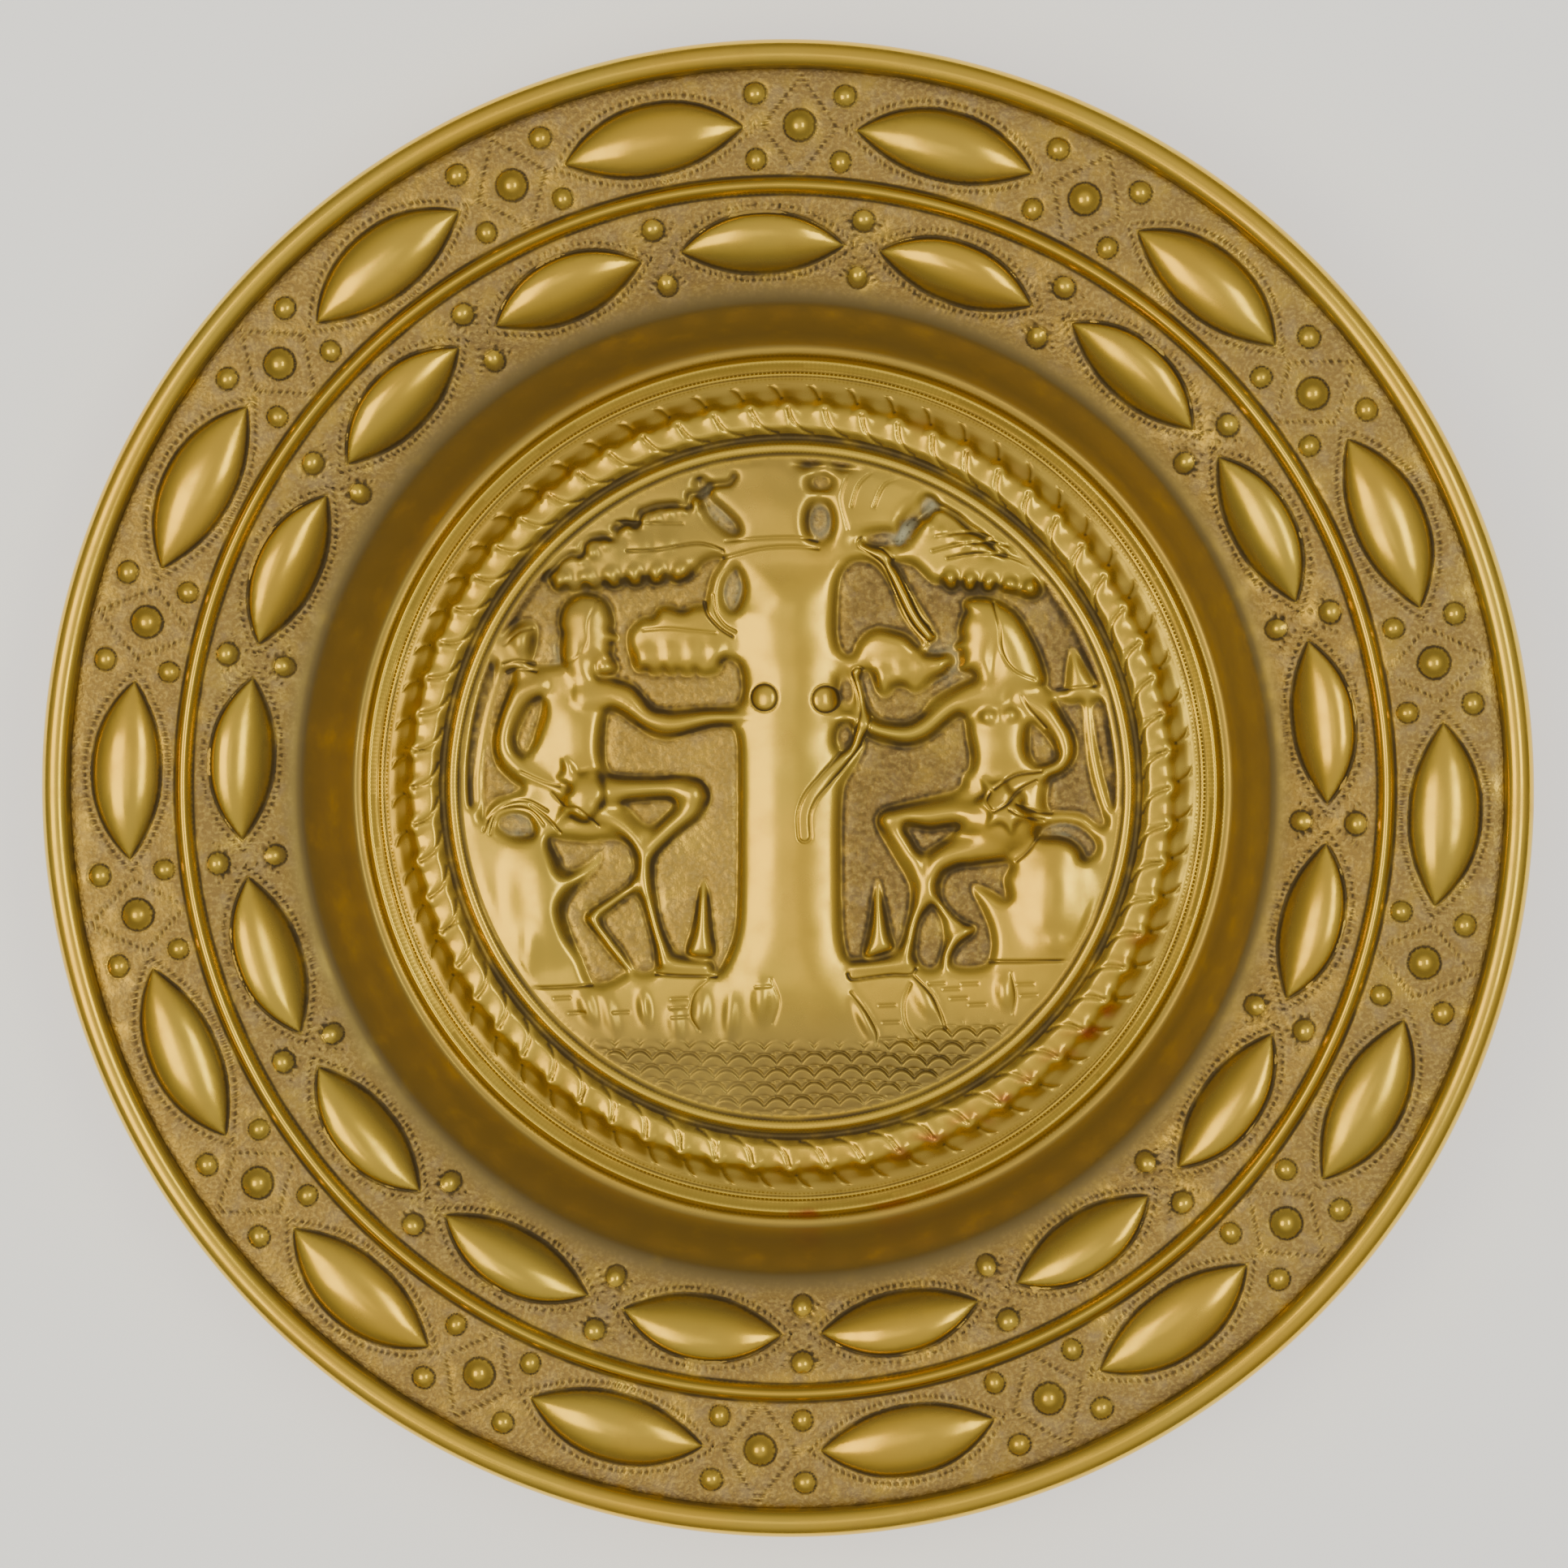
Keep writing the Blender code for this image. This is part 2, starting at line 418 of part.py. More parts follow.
def back_height(field):
    radius = np.hypot(*field.T)
    height = np.interp(radius, *zip(*underside_profile()))
    height += lens_height(field, OUTER_LENSES) + lens_height(field, INNER_LENSES)
    inner = radius < PICTURE_RADIUS - HAIR
    height[inner] = PICTURE_GROUND - SHEET + picture_height(field[inner])
    return height


class Plan:
    """Points on the dish's plan, with the edges that its triangles have to keep."""

    def __init__(self):
        self.points = []
        self.edges = []

    def chain(self, points, closed=False):
        first = len(self.points)
        self.points += [tuple(p) for p in points]
        last = len(self.points) - 1
        self.edges += [(k, k + 1) for k in range(first, last)]
        if closed:
            self.edges.append((last, first))

    def add(self, points, edges):
        first = len(self.points)
        self.points += points
        self.edges += [(first + start, first + end) for start, end in edges]

    def ring(self, radius, sides):
        self.chain([polar(radius, 360 * k / sides) for k in range(sides)], closed=True)

    def lens(self, lenses, angle, sides, ridge):
        """A lens's outline, and its ridge from tip to tip."""
        ring, half_length, half_width = lenses[:3]
        first = len(self.points)
        outline = []
        for k in range(2 * sides):
            turn = math.pi * k / sides
            along = math.cos(turn)
            across = math.copysign(1 - along**2, math.sin(turn)) if k % sides else 0
            turned = angle + math.degrees(half_length * along / ring)
            outline.append(polar(ring + half_width * across, turned))
        self.chain(outline, closed=True)
        shares = [(ridge - 1 - 2 * k) / (ridge + 0.4) for k in range(ridge)]
        self.chain([polar(ring, angle + math.degrees(half_length * along / ring)) for along in shares])
        self.edges += [(first, first + 2 * sides), (len(self.points) - 1, first + sides)]

    def dome(self, centre, radius, sides):
        self.points.append(tuple(centre))
        turns = [360 * (k + 0.5) / sides for k in range(sides)]
        self.chain([np.add(centre, polar(radius, turn)) for turn in turns], closed=True)

    def triangles(self):
        """Corner places and triangles, all wound anticlockwise."""
        corners, _, faces, *_ = delaunay_2d_cdt([Vector(p) for p in self.points], self.edges, [], 0, 1e-6)
        corners = np.array([tuple(c) for c in corners])
        faces = np.array([tuple(f) for f in faces])
        first, second, third = (corners[faces[:, k]] for k in range(3))
        turn = np.cross(second - first, third - first)
        faces[turn < 0] = faces[turn < 0][:, ::-1]
        return corners, faces[np.abs(turn) > 1e-6]


def ring_sides(radius):
    return next(sides for reach, sides in RING_SIDES if radius <= reach)


def thinned(outline, reach):
    """An outline without the points that crowd each other, kept inside a radius."""
    kept = [outline[0]]
    for point in outline[1:]:
        if math.dist(point, kept[-1]) > OUTLINE_STEP and math.dist(point, kept[0]) > OUTLINE_STEP:
            kept.append(point)
    return [np.array(p) * min(1, reach / math.hypot(*p)) for p in kept]


def picture_points():
    """Points and edges that follow the picture: its outlines, then round by round the places where flat
    triangles miss it most."""
    reach = PICTURE_RADIUS - PICTURE_MARGIN
    ring = ring_sides(PICTURE_RADIUS)
    steps = np.arange(-reach, reach, PICTURE_SAMPLE)
    grid = np.array([(x, y) for y in steps for x in steps])
    height = picture_height(grid)
    kept = np.hypot(*grid.T) < reach
    plan = Plan()
    plan.ring(PICTURE_RADIUS, ring)
    for outline in POCKETS + SPIKES + [ADAM_HEAD, EVE_HEAD]:
        plan.chain(thinned(outline, reach), closed=True)
    plan.points += [(x, y) for x in (-TRUNK_CREST, TRUNK_CREST) for y in range(-45, 60, 20)]
    plan.points += [centre for centre, *_ in SWELLINGS]
    size = len(steps)
    while len(plan.points) < PICTURE_POINTS + ring:
        corners, faces = plan.triangles()
        level = picture_height(corners)
        worst = []
        for face in faces:
            (ax, ay), (bx, by), (cx, cy) = corners[face]
            low = np.searchsorted(steps, (min(ax, bx, cx), min(ay, by, cy)))
            high = np.searchsorted(steps, (max(ax, bx, cx), max(ay, by, cy)))
            rows, columns = np.mgrid[low[1]:high[1], low[0]:high[0]].reshape(2, -1)
            index = rows * size + columns
            index = index[kept[index]]
            if not len(index):
                continue
            x, y = grid[index].T
            area = (bx - ax) * (cy - ay) - (cx - ax) * (by - ay)
            second = ((x - ax) * (cy - ay) - (cx - ax) * (y - ay)) / area
            third = ((bx - ax) * (y - ay) - (x - ax) * (by - ay)) / area
            inside = (second > 0) & (third > 0) & (second + third < 1)
            if not inside.any():
                continue
            flat = level[face[0]] * (1 - second - third) + level[face[1]] * second + level[face[2]] * third
            miss = np.abs(flat - height[index]) * inside
            worst.append((miss.max(), tuple(grid[index[miss.argmax()]])))
        worst.sort(reverse=True)
        room = PICTURE_POINTS + ring - len(plan.points)
        plan.points += [point for _, point in worst[:min(room, 4 + len(worst) // 5)]]
    return plan.points[ring:], [(start - ring, end - ring) for start, end in plan.edges[ring:]]


def front_plan(inside):
    plan = Plan()
    for radius, _ in PROFILE:
        plan.ring(radius, 2 * WREATH_LEAVES if radius == WREATH_RADIUS else ring_sides(radius))
    for lenses in (OUTER_LENSES, INNER_LENSES):
        for angle in lens_angles(lenses):
            plan.lens(lenses, angle, 4, 3)
    for centre, radius, _ in beads():
        plan.dome(centre, radius, 6 if radius > SMALL_BEAD[0] else 4)
    plan.add(*inside)
    return plan


def back_plan(inside):
    plan = Plan()
    for (front, _), (radius, _) in zip(PROFILE, underside_profile()):
        if front not in FRONT_ONLY:
            plan.ring(radius, ring_sides(front))
    for lenses in (OUTER_LENSES, INNER_LENSES):
        for angle in lens_angles(lenses):
            plan.lens(lenses, angle, 4, 1)
    plan.add(*inside)
    return plan


def roll_profile():
    """The sheet's edge from the front, over and round under the rim, and back inside the roll."""
    outside = [(ROLL_RADIUS, turn) for turn in (-48, 0, 45, 90, 135, 180, 235)]
    inside = [(ROLL_RADIUS - SHEET, turn) for turn in (235, 144, 53, -38)]
    around = [polar(reach, turn) for reach, turn in outside + inside]
    return [(RIM_RADIUS - ROLL_RADIUS + across, ROLL_CREST - ROLL_RADIUS + up) for across, up in around]


def add_face_sheet(mesh, plan, height, upward):
    """One face of the sheet; gives the ring of its corners at the rolled edge."""
    corners, faces = plan.triangles()
    levels = height(corners)
    made = [mesh.verts.new((x * MM, y * MM, z * MM)) for (x, y), z in zip(corners, levels)]
    for face in faces:
        mesh.faces.new([made[k] for k in (face if upward else face[::-1])])
    radius = np.hypot(*corners.T)
    edge = np.flatnonzero(radius > radius.max() - HAIR)
    order = np.argsort(np.arctan2(corners[edge, 0], corners[edge, 1]) % (2 * math.pi - HAIR))
    return [made[k] for k in edge[order]]


def add_roll(mesh, front_edge, back_edge):
    sides = len(front_edge)
    rings = [front_edge]
    for radius, height in roll_profile():
        places = [polar(radius, 360 * k / sides) for k in range(sides)]
        rings.append([mesh.verts.new((x * MM, y * MM, height * MM)) for x, y in places])
    rings.append(back_edge)
    for near_ring, far_ring in zip(rings, rings[1:]):
        for k in range(sides):
            n = (k + 1) % sides
            mesh.faces.new((near_ring[k], near_ring[n], far_ring[n], far_ring[k]))


def brass():
    material = bpy.data.materials.new("aged_brass")
    material.use_nodes = True
    shader = material.node_tree.nodes["Principled BSDF"]
    shader.inputs["Base Color"].default_value = (0.42, 0.26, 0.07, 1)
    shader.inputs["Metallic"].default_value = 1.0
    shader.inputs["Roughness"].default_value = 0.38
    return material


def make_charger():
    inside = picture_points()
    mesh = bmesh.new()
    front_edge = add_face_sheet(mesh, front_plan(inside), front_height, True)
    back_edge = add_face_sheet(mesh, back_plan(inside), back_height, False)
    add_roll(mesh, front_edge, back_edge)
    bmesh.ops.recalc_face_normals(mesh, faces=mesh.faces)
    bmesh.ops.triangulate(mesh, faces=mesh.faces)
    data = bpy.data.meshes.new("charger")
    mesh.to_mesh(data)
    mesh.free()
    data.materials.append(brass())
    charger = bpy.data.objects.new("charger", data)
    bpy.context.scene.collection.objects.link(charger)
    return charger


def main():
    for old in list(bpy.data.objects):
        bpy.data.objects.remove(old)
    make_charger()


main()
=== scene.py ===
"""The looks of an embossed brass charger: sheet brass with pressed bosses, chased lines and an old patina.

The dish is made in rings that meet along its own turned lines: the embossed picture, the wreath, the well
with the inner band, a bead, the outer band and the rolled edge. Each is one closed piece of sheet whose face
is a height over the plane that the dish lies on. Lengths are in millimetres until a mesh is made. x runs to
the right of the picture and y to its top.
"""

import json
import math

import bpy
import numpy as np
from mathutils import Matrix, Vector
from mathutils.geometry import delaunay_2d_cdt

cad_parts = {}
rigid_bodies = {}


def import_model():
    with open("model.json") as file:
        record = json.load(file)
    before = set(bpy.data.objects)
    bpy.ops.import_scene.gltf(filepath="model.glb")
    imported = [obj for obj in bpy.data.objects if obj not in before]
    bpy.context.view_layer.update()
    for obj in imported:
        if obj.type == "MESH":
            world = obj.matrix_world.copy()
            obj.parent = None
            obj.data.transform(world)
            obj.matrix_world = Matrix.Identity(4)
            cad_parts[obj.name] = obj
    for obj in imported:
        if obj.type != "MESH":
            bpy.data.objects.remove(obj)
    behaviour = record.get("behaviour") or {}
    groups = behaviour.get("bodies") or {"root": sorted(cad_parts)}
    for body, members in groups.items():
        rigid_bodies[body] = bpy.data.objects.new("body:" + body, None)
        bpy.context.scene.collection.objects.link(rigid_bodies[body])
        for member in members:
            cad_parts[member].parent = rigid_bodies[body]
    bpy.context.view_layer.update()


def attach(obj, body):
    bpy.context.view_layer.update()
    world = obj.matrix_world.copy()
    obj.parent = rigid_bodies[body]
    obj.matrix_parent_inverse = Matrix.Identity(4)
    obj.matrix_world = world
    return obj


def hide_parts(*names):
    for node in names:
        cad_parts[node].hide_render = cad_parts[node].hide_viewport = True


MM = 0.001
FAR = 1e3

# ---- sizes of the dish -------------------------------------------------------------------------------
RIM_RADIUS = 200.0
SHEET = 1.0
# the picture: its radius, the level of its sunk ground, and the width over which it meets its border
PICTURE_RADIUS = 89.2
PICTURE_GROUND = 1.6
PICTURE_EDGE = 2.4
# the rolled edge: its radius, the height of its top, the radius where the brim runs into it, the degrees
# from outward where its outside and its inside start and end, each with its steps, and its unevenness
ROLL_RADIUS = 4.0
ROLL_CREST = 33.6
ROLL_ENTRY = 192.2
ROLL_OUTSIDE = (166, -148, 28)
ROLL_INSIDE = (-148, 160, 10)
ROLL_WAVER = 0.12

# the face from the picture's edge to the rolled edge: radius, height
PROFILE = [
    (PICTURE_RADIUS, 4.1), (90.0, 4.2), (91.2, 5.0), (92.3, 5.1), (93.5, 4.2), (94.7, 3.5), (95.8, 4.3),
    (98.0, 5.2), (101.7, 5.2), (105.5, 3.9), (108.2, 2.7), (110.2, 2.3), (110.9, 1.95), (111.7, 2.6),
    (112.6, 1.9), (113.6, 2.2), (115.3, 3.1), (116.5, 2.0), (117.2, 1.15), (118.2, SHEET), (119.4, 1.2),
    (120.6, 2.4), (122.2, 5.2), (129.0, 19.0), (130.4, 21.1), (132.2, 22.3), (134.6, 23.1), (157.4, 29.6),
    (158.6, 29.7), (159.5, 30.8), (161.2, 32.4), (162.9, 31.3), (163.8, 30.3), (165.0, 30.6), (189.0, 31.0),
    (191.0, 30.7), (ROLL_ENTRY, 30.2)]
# the radii where pieces of the dish meet, and the ridge of the bead between the bands
WREATH_EDGE = 109.2
SHOULDER = 132.2
BEAD_INNER = 158.6
BEAD_RIDGE = 161.2
BEAD_OUTER = 163.8

# lens bosses: ring radius, half-length, half-width, height, how many, first one's angle
OUTER_LENSES = (176.8, 24.5, 9.5, 4.6, 14, 14.6)
INNER_LENSES = (146.0, 22.0, 8.3, 4.2, 17, 19.0)
# the power of a lens's outline, and the powers that round its dome across and along
LENS_ROUNDNESS = 2.2
DOME_ACROSS, DOME_ALONG = 0.68, 0.9
# how far the hand strayed: along, across and in turn, then in length, width and height
STRAY_ALONG, STRAY_ACROSS, STRAY_TURN = 0.5, 0.35, 0.02
STRAY_LENGTH, STRAY_WIDTH, STRAY_HEIGHT = 0.02, 0.03, 0.06
# the cut line round each lens: depth, width
LENS_LINE = (0.25, 0.4)

# round beads: radius, height; the dome's share of the radius and its power; the groove round one as its
# depth, mm outside the bead and width; then how far the beads of each band lie from its ring in mm and from
# the middle between two lenses in degrees, and how far each strays
LARGE_BEAD = (4.2, 2.4)
SMALL_BEAD = (2.9, 1.5)
BEAD_SHARE, BEAD_ROUNDNESS = 0.8, 2.6
BEAD_GROOVE = (0.15, 0.3, 0.5)
OUTER_BEAD_SPREAD = 8.6
OUTER_BEAD_STEP = 3.8
OUTER_BEAD_STRAY = 0.4
INNER_BEAD_SPREAD = 7.4
INNER_BEAD_STRAY = 0.35

# punched rows: pitch, distance from a lens, width, rise, and the depth of the channel they lie in
PUNCH_PITCH = 1.85
PUNCH_REACH = 1.9
PUNCH_WIDTH = 0.75
PUNCH_RISE = 0.32
PUNCH_CHANNEL = 0.12
# half-width and half-height of the punched lozenge and of the punched cross between the lenses
LOZENGE = (9.9, 13.2)
SALTIRE = (5.6, 9.0)
SALTIRE_SHARE = 0.7
# how soon the bosses reach their full height at a band's edges, and the plain sides of the bead's ridge
BAND_END = 0.8
BEAD_SIDES = (2.1, 3.1)

# the wreath's leaves: how many, the ring that they are spaced on, their rise and the radii where they rise
WREATH_LEAVES = 64
WREATH_RADIUS = 99.0
WREATH_RISE = 0.6
WREATH_START = (94.8, 98.5)
# the radius where a leaf falls off, how far that waves along the leaf, and how softly it falls
LEAF_TIP, LEAF_TIP_WAVE, LEAF_TIP_EDGE = 103.2, 1.2, 2.8
# a leaf's cut back, as mm from where the leaf starts and radius, and its outer edge, as mm from where it ends
LEAF_BACK = [(-0.2, 102.6), (0.9, 99.6), (2.5, 97.6), (4.8, 96.3), (6.6, 95.8)]
LEAF_OUTER = [(5.0, 109.0), (3.4, 107.9), (2.0, 105.6)]
# both cuts' depth and width, and the ridge beside the back as its rise, mm from the cut and width
LEAF_CUT = (0.38, 0.55)
LEAF_OUTER_CUT = (0.25, 0.5)
LEAF_RIDGE = (0.2, 1.6, 1.2)
# the knob at the leaf's tip and the dip ahead of it
KNOB_RISE, KNOB_BACK, KNOB_RADIUS, KNOB_WIDTH = 0.42, 0.7, 103.8, 1.5
DIP_DEPTH, DIP_AHEAD, DIP_RADIUS, DIP_HALF = 0.2, 5, 105.2, (2.2, 1.8)

# small strokes round the foot ring: how many, radius, width of their row, rise
STROKES = 560
STROKES_RADIUS, STROKES_WIDTH, STROKES_RISE = 116.6, 0.6, 0.1

# unevenness of the sheet: slow waver, and the grain of the matted ground
BAND_WAVER, BAND_GRAIN = 0.12, 0.07
PICTURE_WAVER, PICTURE_GRAIN = 0.1, 0.1

# ---- meshes ------------------------------------------------------------------------------------------
RING_STEPS = 720
EXTRA_ROWS = 8
# the least miss in mm that a sample is kept for, and its growth until a face keeps within its most points
FINEST_MISS = 0.004
MISS_GROWTH = 1.12
# how far round a point its surroundings reach
HOLLOW_REACH = 0.9
# finest step and most points of the picture and of every back
PICTURE_STEP, PICTURE_BUDGET = 0.3, 88000
BACK_STEP, BACK_BUDGET = 1.2, 5000
# the rings between the picture and the rolled edge: name, inner and outer radius, finest step, most points
RINGS = [
    ("wreath", PICTURE_RADIUS, WREATH_EDGE, 0.3, 60000),
    ("well_and_inner_band", WREATH_EDGE, BEAD_INNER, 0.34, 89000),
    ("middle_bead", BEAD_INNER, BEAD_OUTER, 0.4, 9000), ("outer_band", BEAD_OUTER, ROLL_ENTRY, 0.36, 88000)]

# ---- wear --------------------------------------------------------------------------------------------
# what the finish reads at each point, and its value on the back and the walls
# the hollow mark darkens the colour as grime and painted shade, and the olive mark as patina and painted
# shade
MARKS = ("ground", "hollow", "stain", "residue", "patina_and_shade")
UNSEEN_MARKS = {"ground": 0.5, "hollow": 0.0, "stain": 0.0, "residue": 0.0, "patina_and_shade": 0.5}
# how much a steep place is darkened as painted shade, through the hollow mark and through the olive mark, and
# the grime and painted shade on the ground of the picture's pockets
STEEP_PAINTED_SHADE, STEEP_OLIVE_SHADE = 0.4, 0.5
POCKET_GRIME_AND_SHADE = 0.2
# the part of the picture's pockets left without the darkening of their ground: middle, half-sizes
UNDARKENED_POCKETS = ((-23, -14), (15, 34))
# where the picture's foot starts and is full, how much less grime and painted shade it has, and how much
# olive of patina and painted shade it gets
FOOT_OF_PICTURE = (-50, -74)
FOOT_LESS_GRIME_AND_SHADE, FOOT_PATINA_AND_SHADE = 0.5, 0.8
# how much olive is laid on the picture's upper left, as painted shade, and on the wreath's outer edge, as
# patina and painted shade
UPPER_LEFT_PAINTED_SHADE, WREATH_EDGE_PATINA_AND_SHADE = 0.5, 0.4
# how much less grime and painted shade the well's wall has
WELL_LESS_GRIME_AND_SHADE = 0.85
# the bead between the bands has less grime, olive and painted shade along its ridge, and a line of grime and
# painted shade along its foot
BEAD_LESS_GRIME_AND_SHADE, BEAD_BRIGHT, BEAD_BRIGHT_WIDTH = 0.95, 0.9, 3.4
# grime and painted shade in a line: amount, mm from the bead's ridge, width; then amount, radius, width
BEAD_FOOT_GRIME_AND_SHADE = (0.26, 2.5, 0.45)
BORDER_GRIME_AND_SHADE = [(0.25, 94.8, 0.9), (0.2, 89.9, 0.7)]
# grime and painted shade in the groove where the brim runs into the rolled edge
ROLL_GROOVE_GRIME_AND_SHADE = 0.4
# copper in the wreath and along the foot: radius, width of the ring; and its share away from the lower right
COPPER_RADIUS, COPPER_WIDTH, COPPER_ALL_ROUND = 103.6, 3.0, 0.25
COPPER_FOOT_RADIUS, COPPER_FOOT_WIDTH = 115.5, 1.6
# polish stays below the first height and is gone at the second
POLISH_LEVEL = (2.0, 3.2)
# where polish is left: place, reach
RESIDUE = [
    ((8.5, 72), 5), ((-17.5, 76), 5), ((30.5, 68.5), 4), ((43, 34.5), 5), ((-62, 35), 3.4), ((-74, -11), 4),
    ((74, -13), 4), ((-14.5, 53), 4), ((-47, 76), 3), ((-31, 82), 4), ((38, 78), 4), ((-57, 71), 3)]

# ---- finishes, in linear colour ----------------------------------------------------------------------
BRASS_GOLD = (0.88, 0.55, 0.055)
BRASS_GREENISH = (0.83, 0.56, 0.065)
BRASS_DULL = (0.66, 0.42, 0.06)
BRASS_RUBBED = (0.95, 0.66, 0.075)
# the olive of patina and painted shade, on the well's wall, the picture's foot and upper left, the wreath's
# outer edge and steep places
WELL_OLIVE = (0.3, 0.215, 0.07)
GROUND_ROSE = (0.37, 0.24, 0.08)
GROUND_PALE = (0.66, 0.46, 0.14)
GROUND_VIOLET = (0.42, 0.3, 0.15)
# grime and painted shade in hollows, creases and on steep places, and the dark of the polish left in the
# picture
GRIME_AND_SHADE = (0.055, 0.036, 0.015)
COPPER = (0.5, 0.15, 0.035)
RESIDUE_GREY = (0.62, 0.6, 0.42)
POLISHED_ROUGHNESS = 0.18
STIPPLE_DEPTH, DENT_DEPTH = 1.8, 0.35
BUMP_STRENGTH, BUMP_DEPTH = 0.5, 0.25
FLOOR_SIZE = 6
FLOOR_GREY = 0.93
FLOOR_ROUGHNESS = 0.8
FLOOR_GLOW = 0.75

# ---- light and camera --------------------------------------------------------------------------------
ROOM_COLOUR = (1.0, 0.97, 1.1)
ROOM_SIDES, ROOM_OVERHEAD = 0.235, 0.375
# softboxes: name, bearing, degrees off upright, distance, size, power, colour
SOFTBOXES = [
    ("main_light", 250, 9, 2.2, (0.6, 0.6), 0.42, (1.0, 0.92, 0.22)),
    ("white_window", 82, 26, 1.7, (0.4, 0.9), 3.6, (1.0, 0.95, 0.3)),
    ("warm_lamp", 260, 29, 1.7, (0.75, 1.0), 5.8, (1.0, 0.84, 0.15))]
# the camera: degrees that it stands to the right and above, lens, distance and aim in metres
CAMERA_RIGHT, CAMERA_UP = 5.5, 2.0
CAMERA_LENS, CAMERA_SENSOR = 150.7, 36
CAMERA_DISTANCE = 1.75
CAMERA_AIM = (0.0012, 0.0019, 0.031)


# ---- small sums --------------------------------------------------------------------------------------
def ease(low, high, value):
    """0 below low, 1 above high, and a smooth step between."""
    share = np.clip((value - low) / (high - low), 0, 1)
    return share * share * (3 - 2 * share)


def bell(distance, width):
    """1 at no distance, about a third at the width, and next to nothing at twice that."""
    return np.exp(-((distance / width) ** 2))


def uneven(number, salt):
    """A number from -1 to 1 that looks random and is the same each time."""
    return (np.sin(number * 12.9898 + salt * 78.233) * 43758.5453) % 2 - 1


def through(places, value):
    """The smooth curve through (place, height) points, with no overshoot between them."""
    x, y = np.array(places, float).T
    run = np.diff(x)
    slope = np.diff(y) / run
    tangent = np.r_[slope[0], np.zeros(len(x) - 2), slope[-1]]
    before, after = slope[:-1], slope[1:]
    turning = before * after > 0
    tangent[1:-1][turning] = 2 * before[turning] * after[turning] / (before + after)[turning]
    span = np.clip(np.searchsorted(x, value, side="right") - 1, 0, len(x) - 2)
    t = np.clip((value - x[span]) / run[span], 0, 1)
    rise = (2 * t**3 - 3 * t**2 + 1) * y[span] + (3 * t**2 - 2 * t**3) * y[span + 1]
    return rise + run[span] * ((t**3 - 2 * t**2 + t) * tangent[span] + (t**3 - t**2) * tangent[span + 1])


def turned(field):
    """Radius, and the angle in degrees clockwise from the top of the picture."""
    return np.hypot(field[..., 0], field[..., 1]), np.degrees(np.arctan2(field[..., 0], field[..., 1]))


def polar(radius, degrees):
    """x and y at a radius, and at an angle clockwise from the top of the picture."""
    return radius * math.sin(math.radians(degrees)), radius * math.cos(math.radians(degrees))


def waver(field, scale, salt):
    """Slow unevenness of hand-worked sheet, from -1 to 1."""
    x, y = field[..., 0] / scale, field[..., 1] / scale
    return (np.sin(x * 1.7 + salt) * np.cos(y * 1.3 - 2 * salt) + np.sin(x * 0.7 - y * 1.1 + 3 * salt)
            + np.sin(y * 2.3 + x * 0.4 + 5 * salt)) / 3


def grain(field, size, salt):
    """Fine random unevenness of a size in mm, from -1 to 1."""
    cell = np.floor(field / size)
    x, y = ((field / size - cell) ** 2 * (3 - 2 * (field / size - cell))).T
    low, right, up, far = (uneven(cell[:, 0] + across + 57 * (cell[:, 1] + out), salt)
                           for across, out in ((0, 0), (1, 0), (0, 1), (1, 1)))
    return (low * (1 - x) + right * x) * (1 - y) + (up * (1 - x) + far * x) * y


# ---- distances: negative inside a shape --------------------------------------------------------------
def smooth_line(points, closed=False, steps=6):
    """A curve through the points."""
    knots = np.array(points, float)
    count = len(knots)
    curve = []
    for i in range(count if closed else count - 1):
        around = np.arange(i - 1, i + 3)
        before, start, end, after = knots[around % count if closed else np.clip(around, 0, count - 1)]
        leave, arrive = (end - before) / 2, (after - start) / 2
        for t in np.arange(steps) / steps:
            curve.append((2 * t**3 - 3 * t**2 + 1) * start + (t**3 - 2 * t**2 + t) * leave
                         + (3 * t**2 - 2 * t**3) * end + (t**3 - t**2) * arrive)
    if not closed:
        curve.append(knots[-1])
    return np.array(curve)


def near(field, line, margin):
    """The samples within a margin of a line's own box."""
    low, high = line.min(0) - margin, line.max(0) + margin
    return np.flatnonzero(((field > low) & (field < high)).all(1))


def to_segment(samples, start, end):
    """Distance to a straight run, and the share of it at the nearest place."""
    run = end - start
    along = np.clip((samples - start) @ run / (run @ run + 1e-12), 0, 1)
    return np.hypot(*(samples - start - along[:, None] * run).T), along


def to_line(field, line, reach=3.0):
    """Distance to an open curve, and the share of its length at the nearest place."""
    best, share = np.full(len(field), FAR), np.zeros(len(field))
    lengths = np.r_[0, np.cumsum(np.hypot(*np.diff(line, axis=0).T))]
    for k, (start, end) in enumerate(zip(line, line[1:])):
        index = near(field, line[k:k + 2], reach)
        gap, along = to_segment(field[index], start, end)
        closer = gap < best[index]
        best[index[closer]] = gap[closer]
        share[index[closer]] = (lengths[k] + along * (lengths[k + 1] - lengths[k]))[closer] / lengths[-1]
    return best, share


def patch(field, points, reach=10.0):
    """Signed distance to a closed outline."""
    line = smooth_line(points, closed=True)
    signed = np.full(len(field), FAR)
    index = near(field, line, reach)
    x, y = field[index].T
    distance, inside = np.full(len(index), FAR), np.zeros(len(index), bool)
    for start, end in zip(line, np.roll(line, -1, axis=0)):
        distance = np.minimum(distance, to_segment(field[index], start, end)[0])
        crosses = (start[1] > y) != (end[1] > y)
        side = start[0] + (y - start[1]) * (end[0] - start[0]) / (end[1] - start[1] + 1e-12)
        inside ^= crosses & (x < side)
    signed[index] = np.where(inside, -distance, distance)
    return signed


def limb(field, points, radii, reach=10.0):
    """Signed distance to a bent limb whose half-width changes along it."""
    distance, share = to_line(field, smooth_line(points), reach)
    return distance - np.interp(share, np.linspace(0, 1, len(radii)), radii)


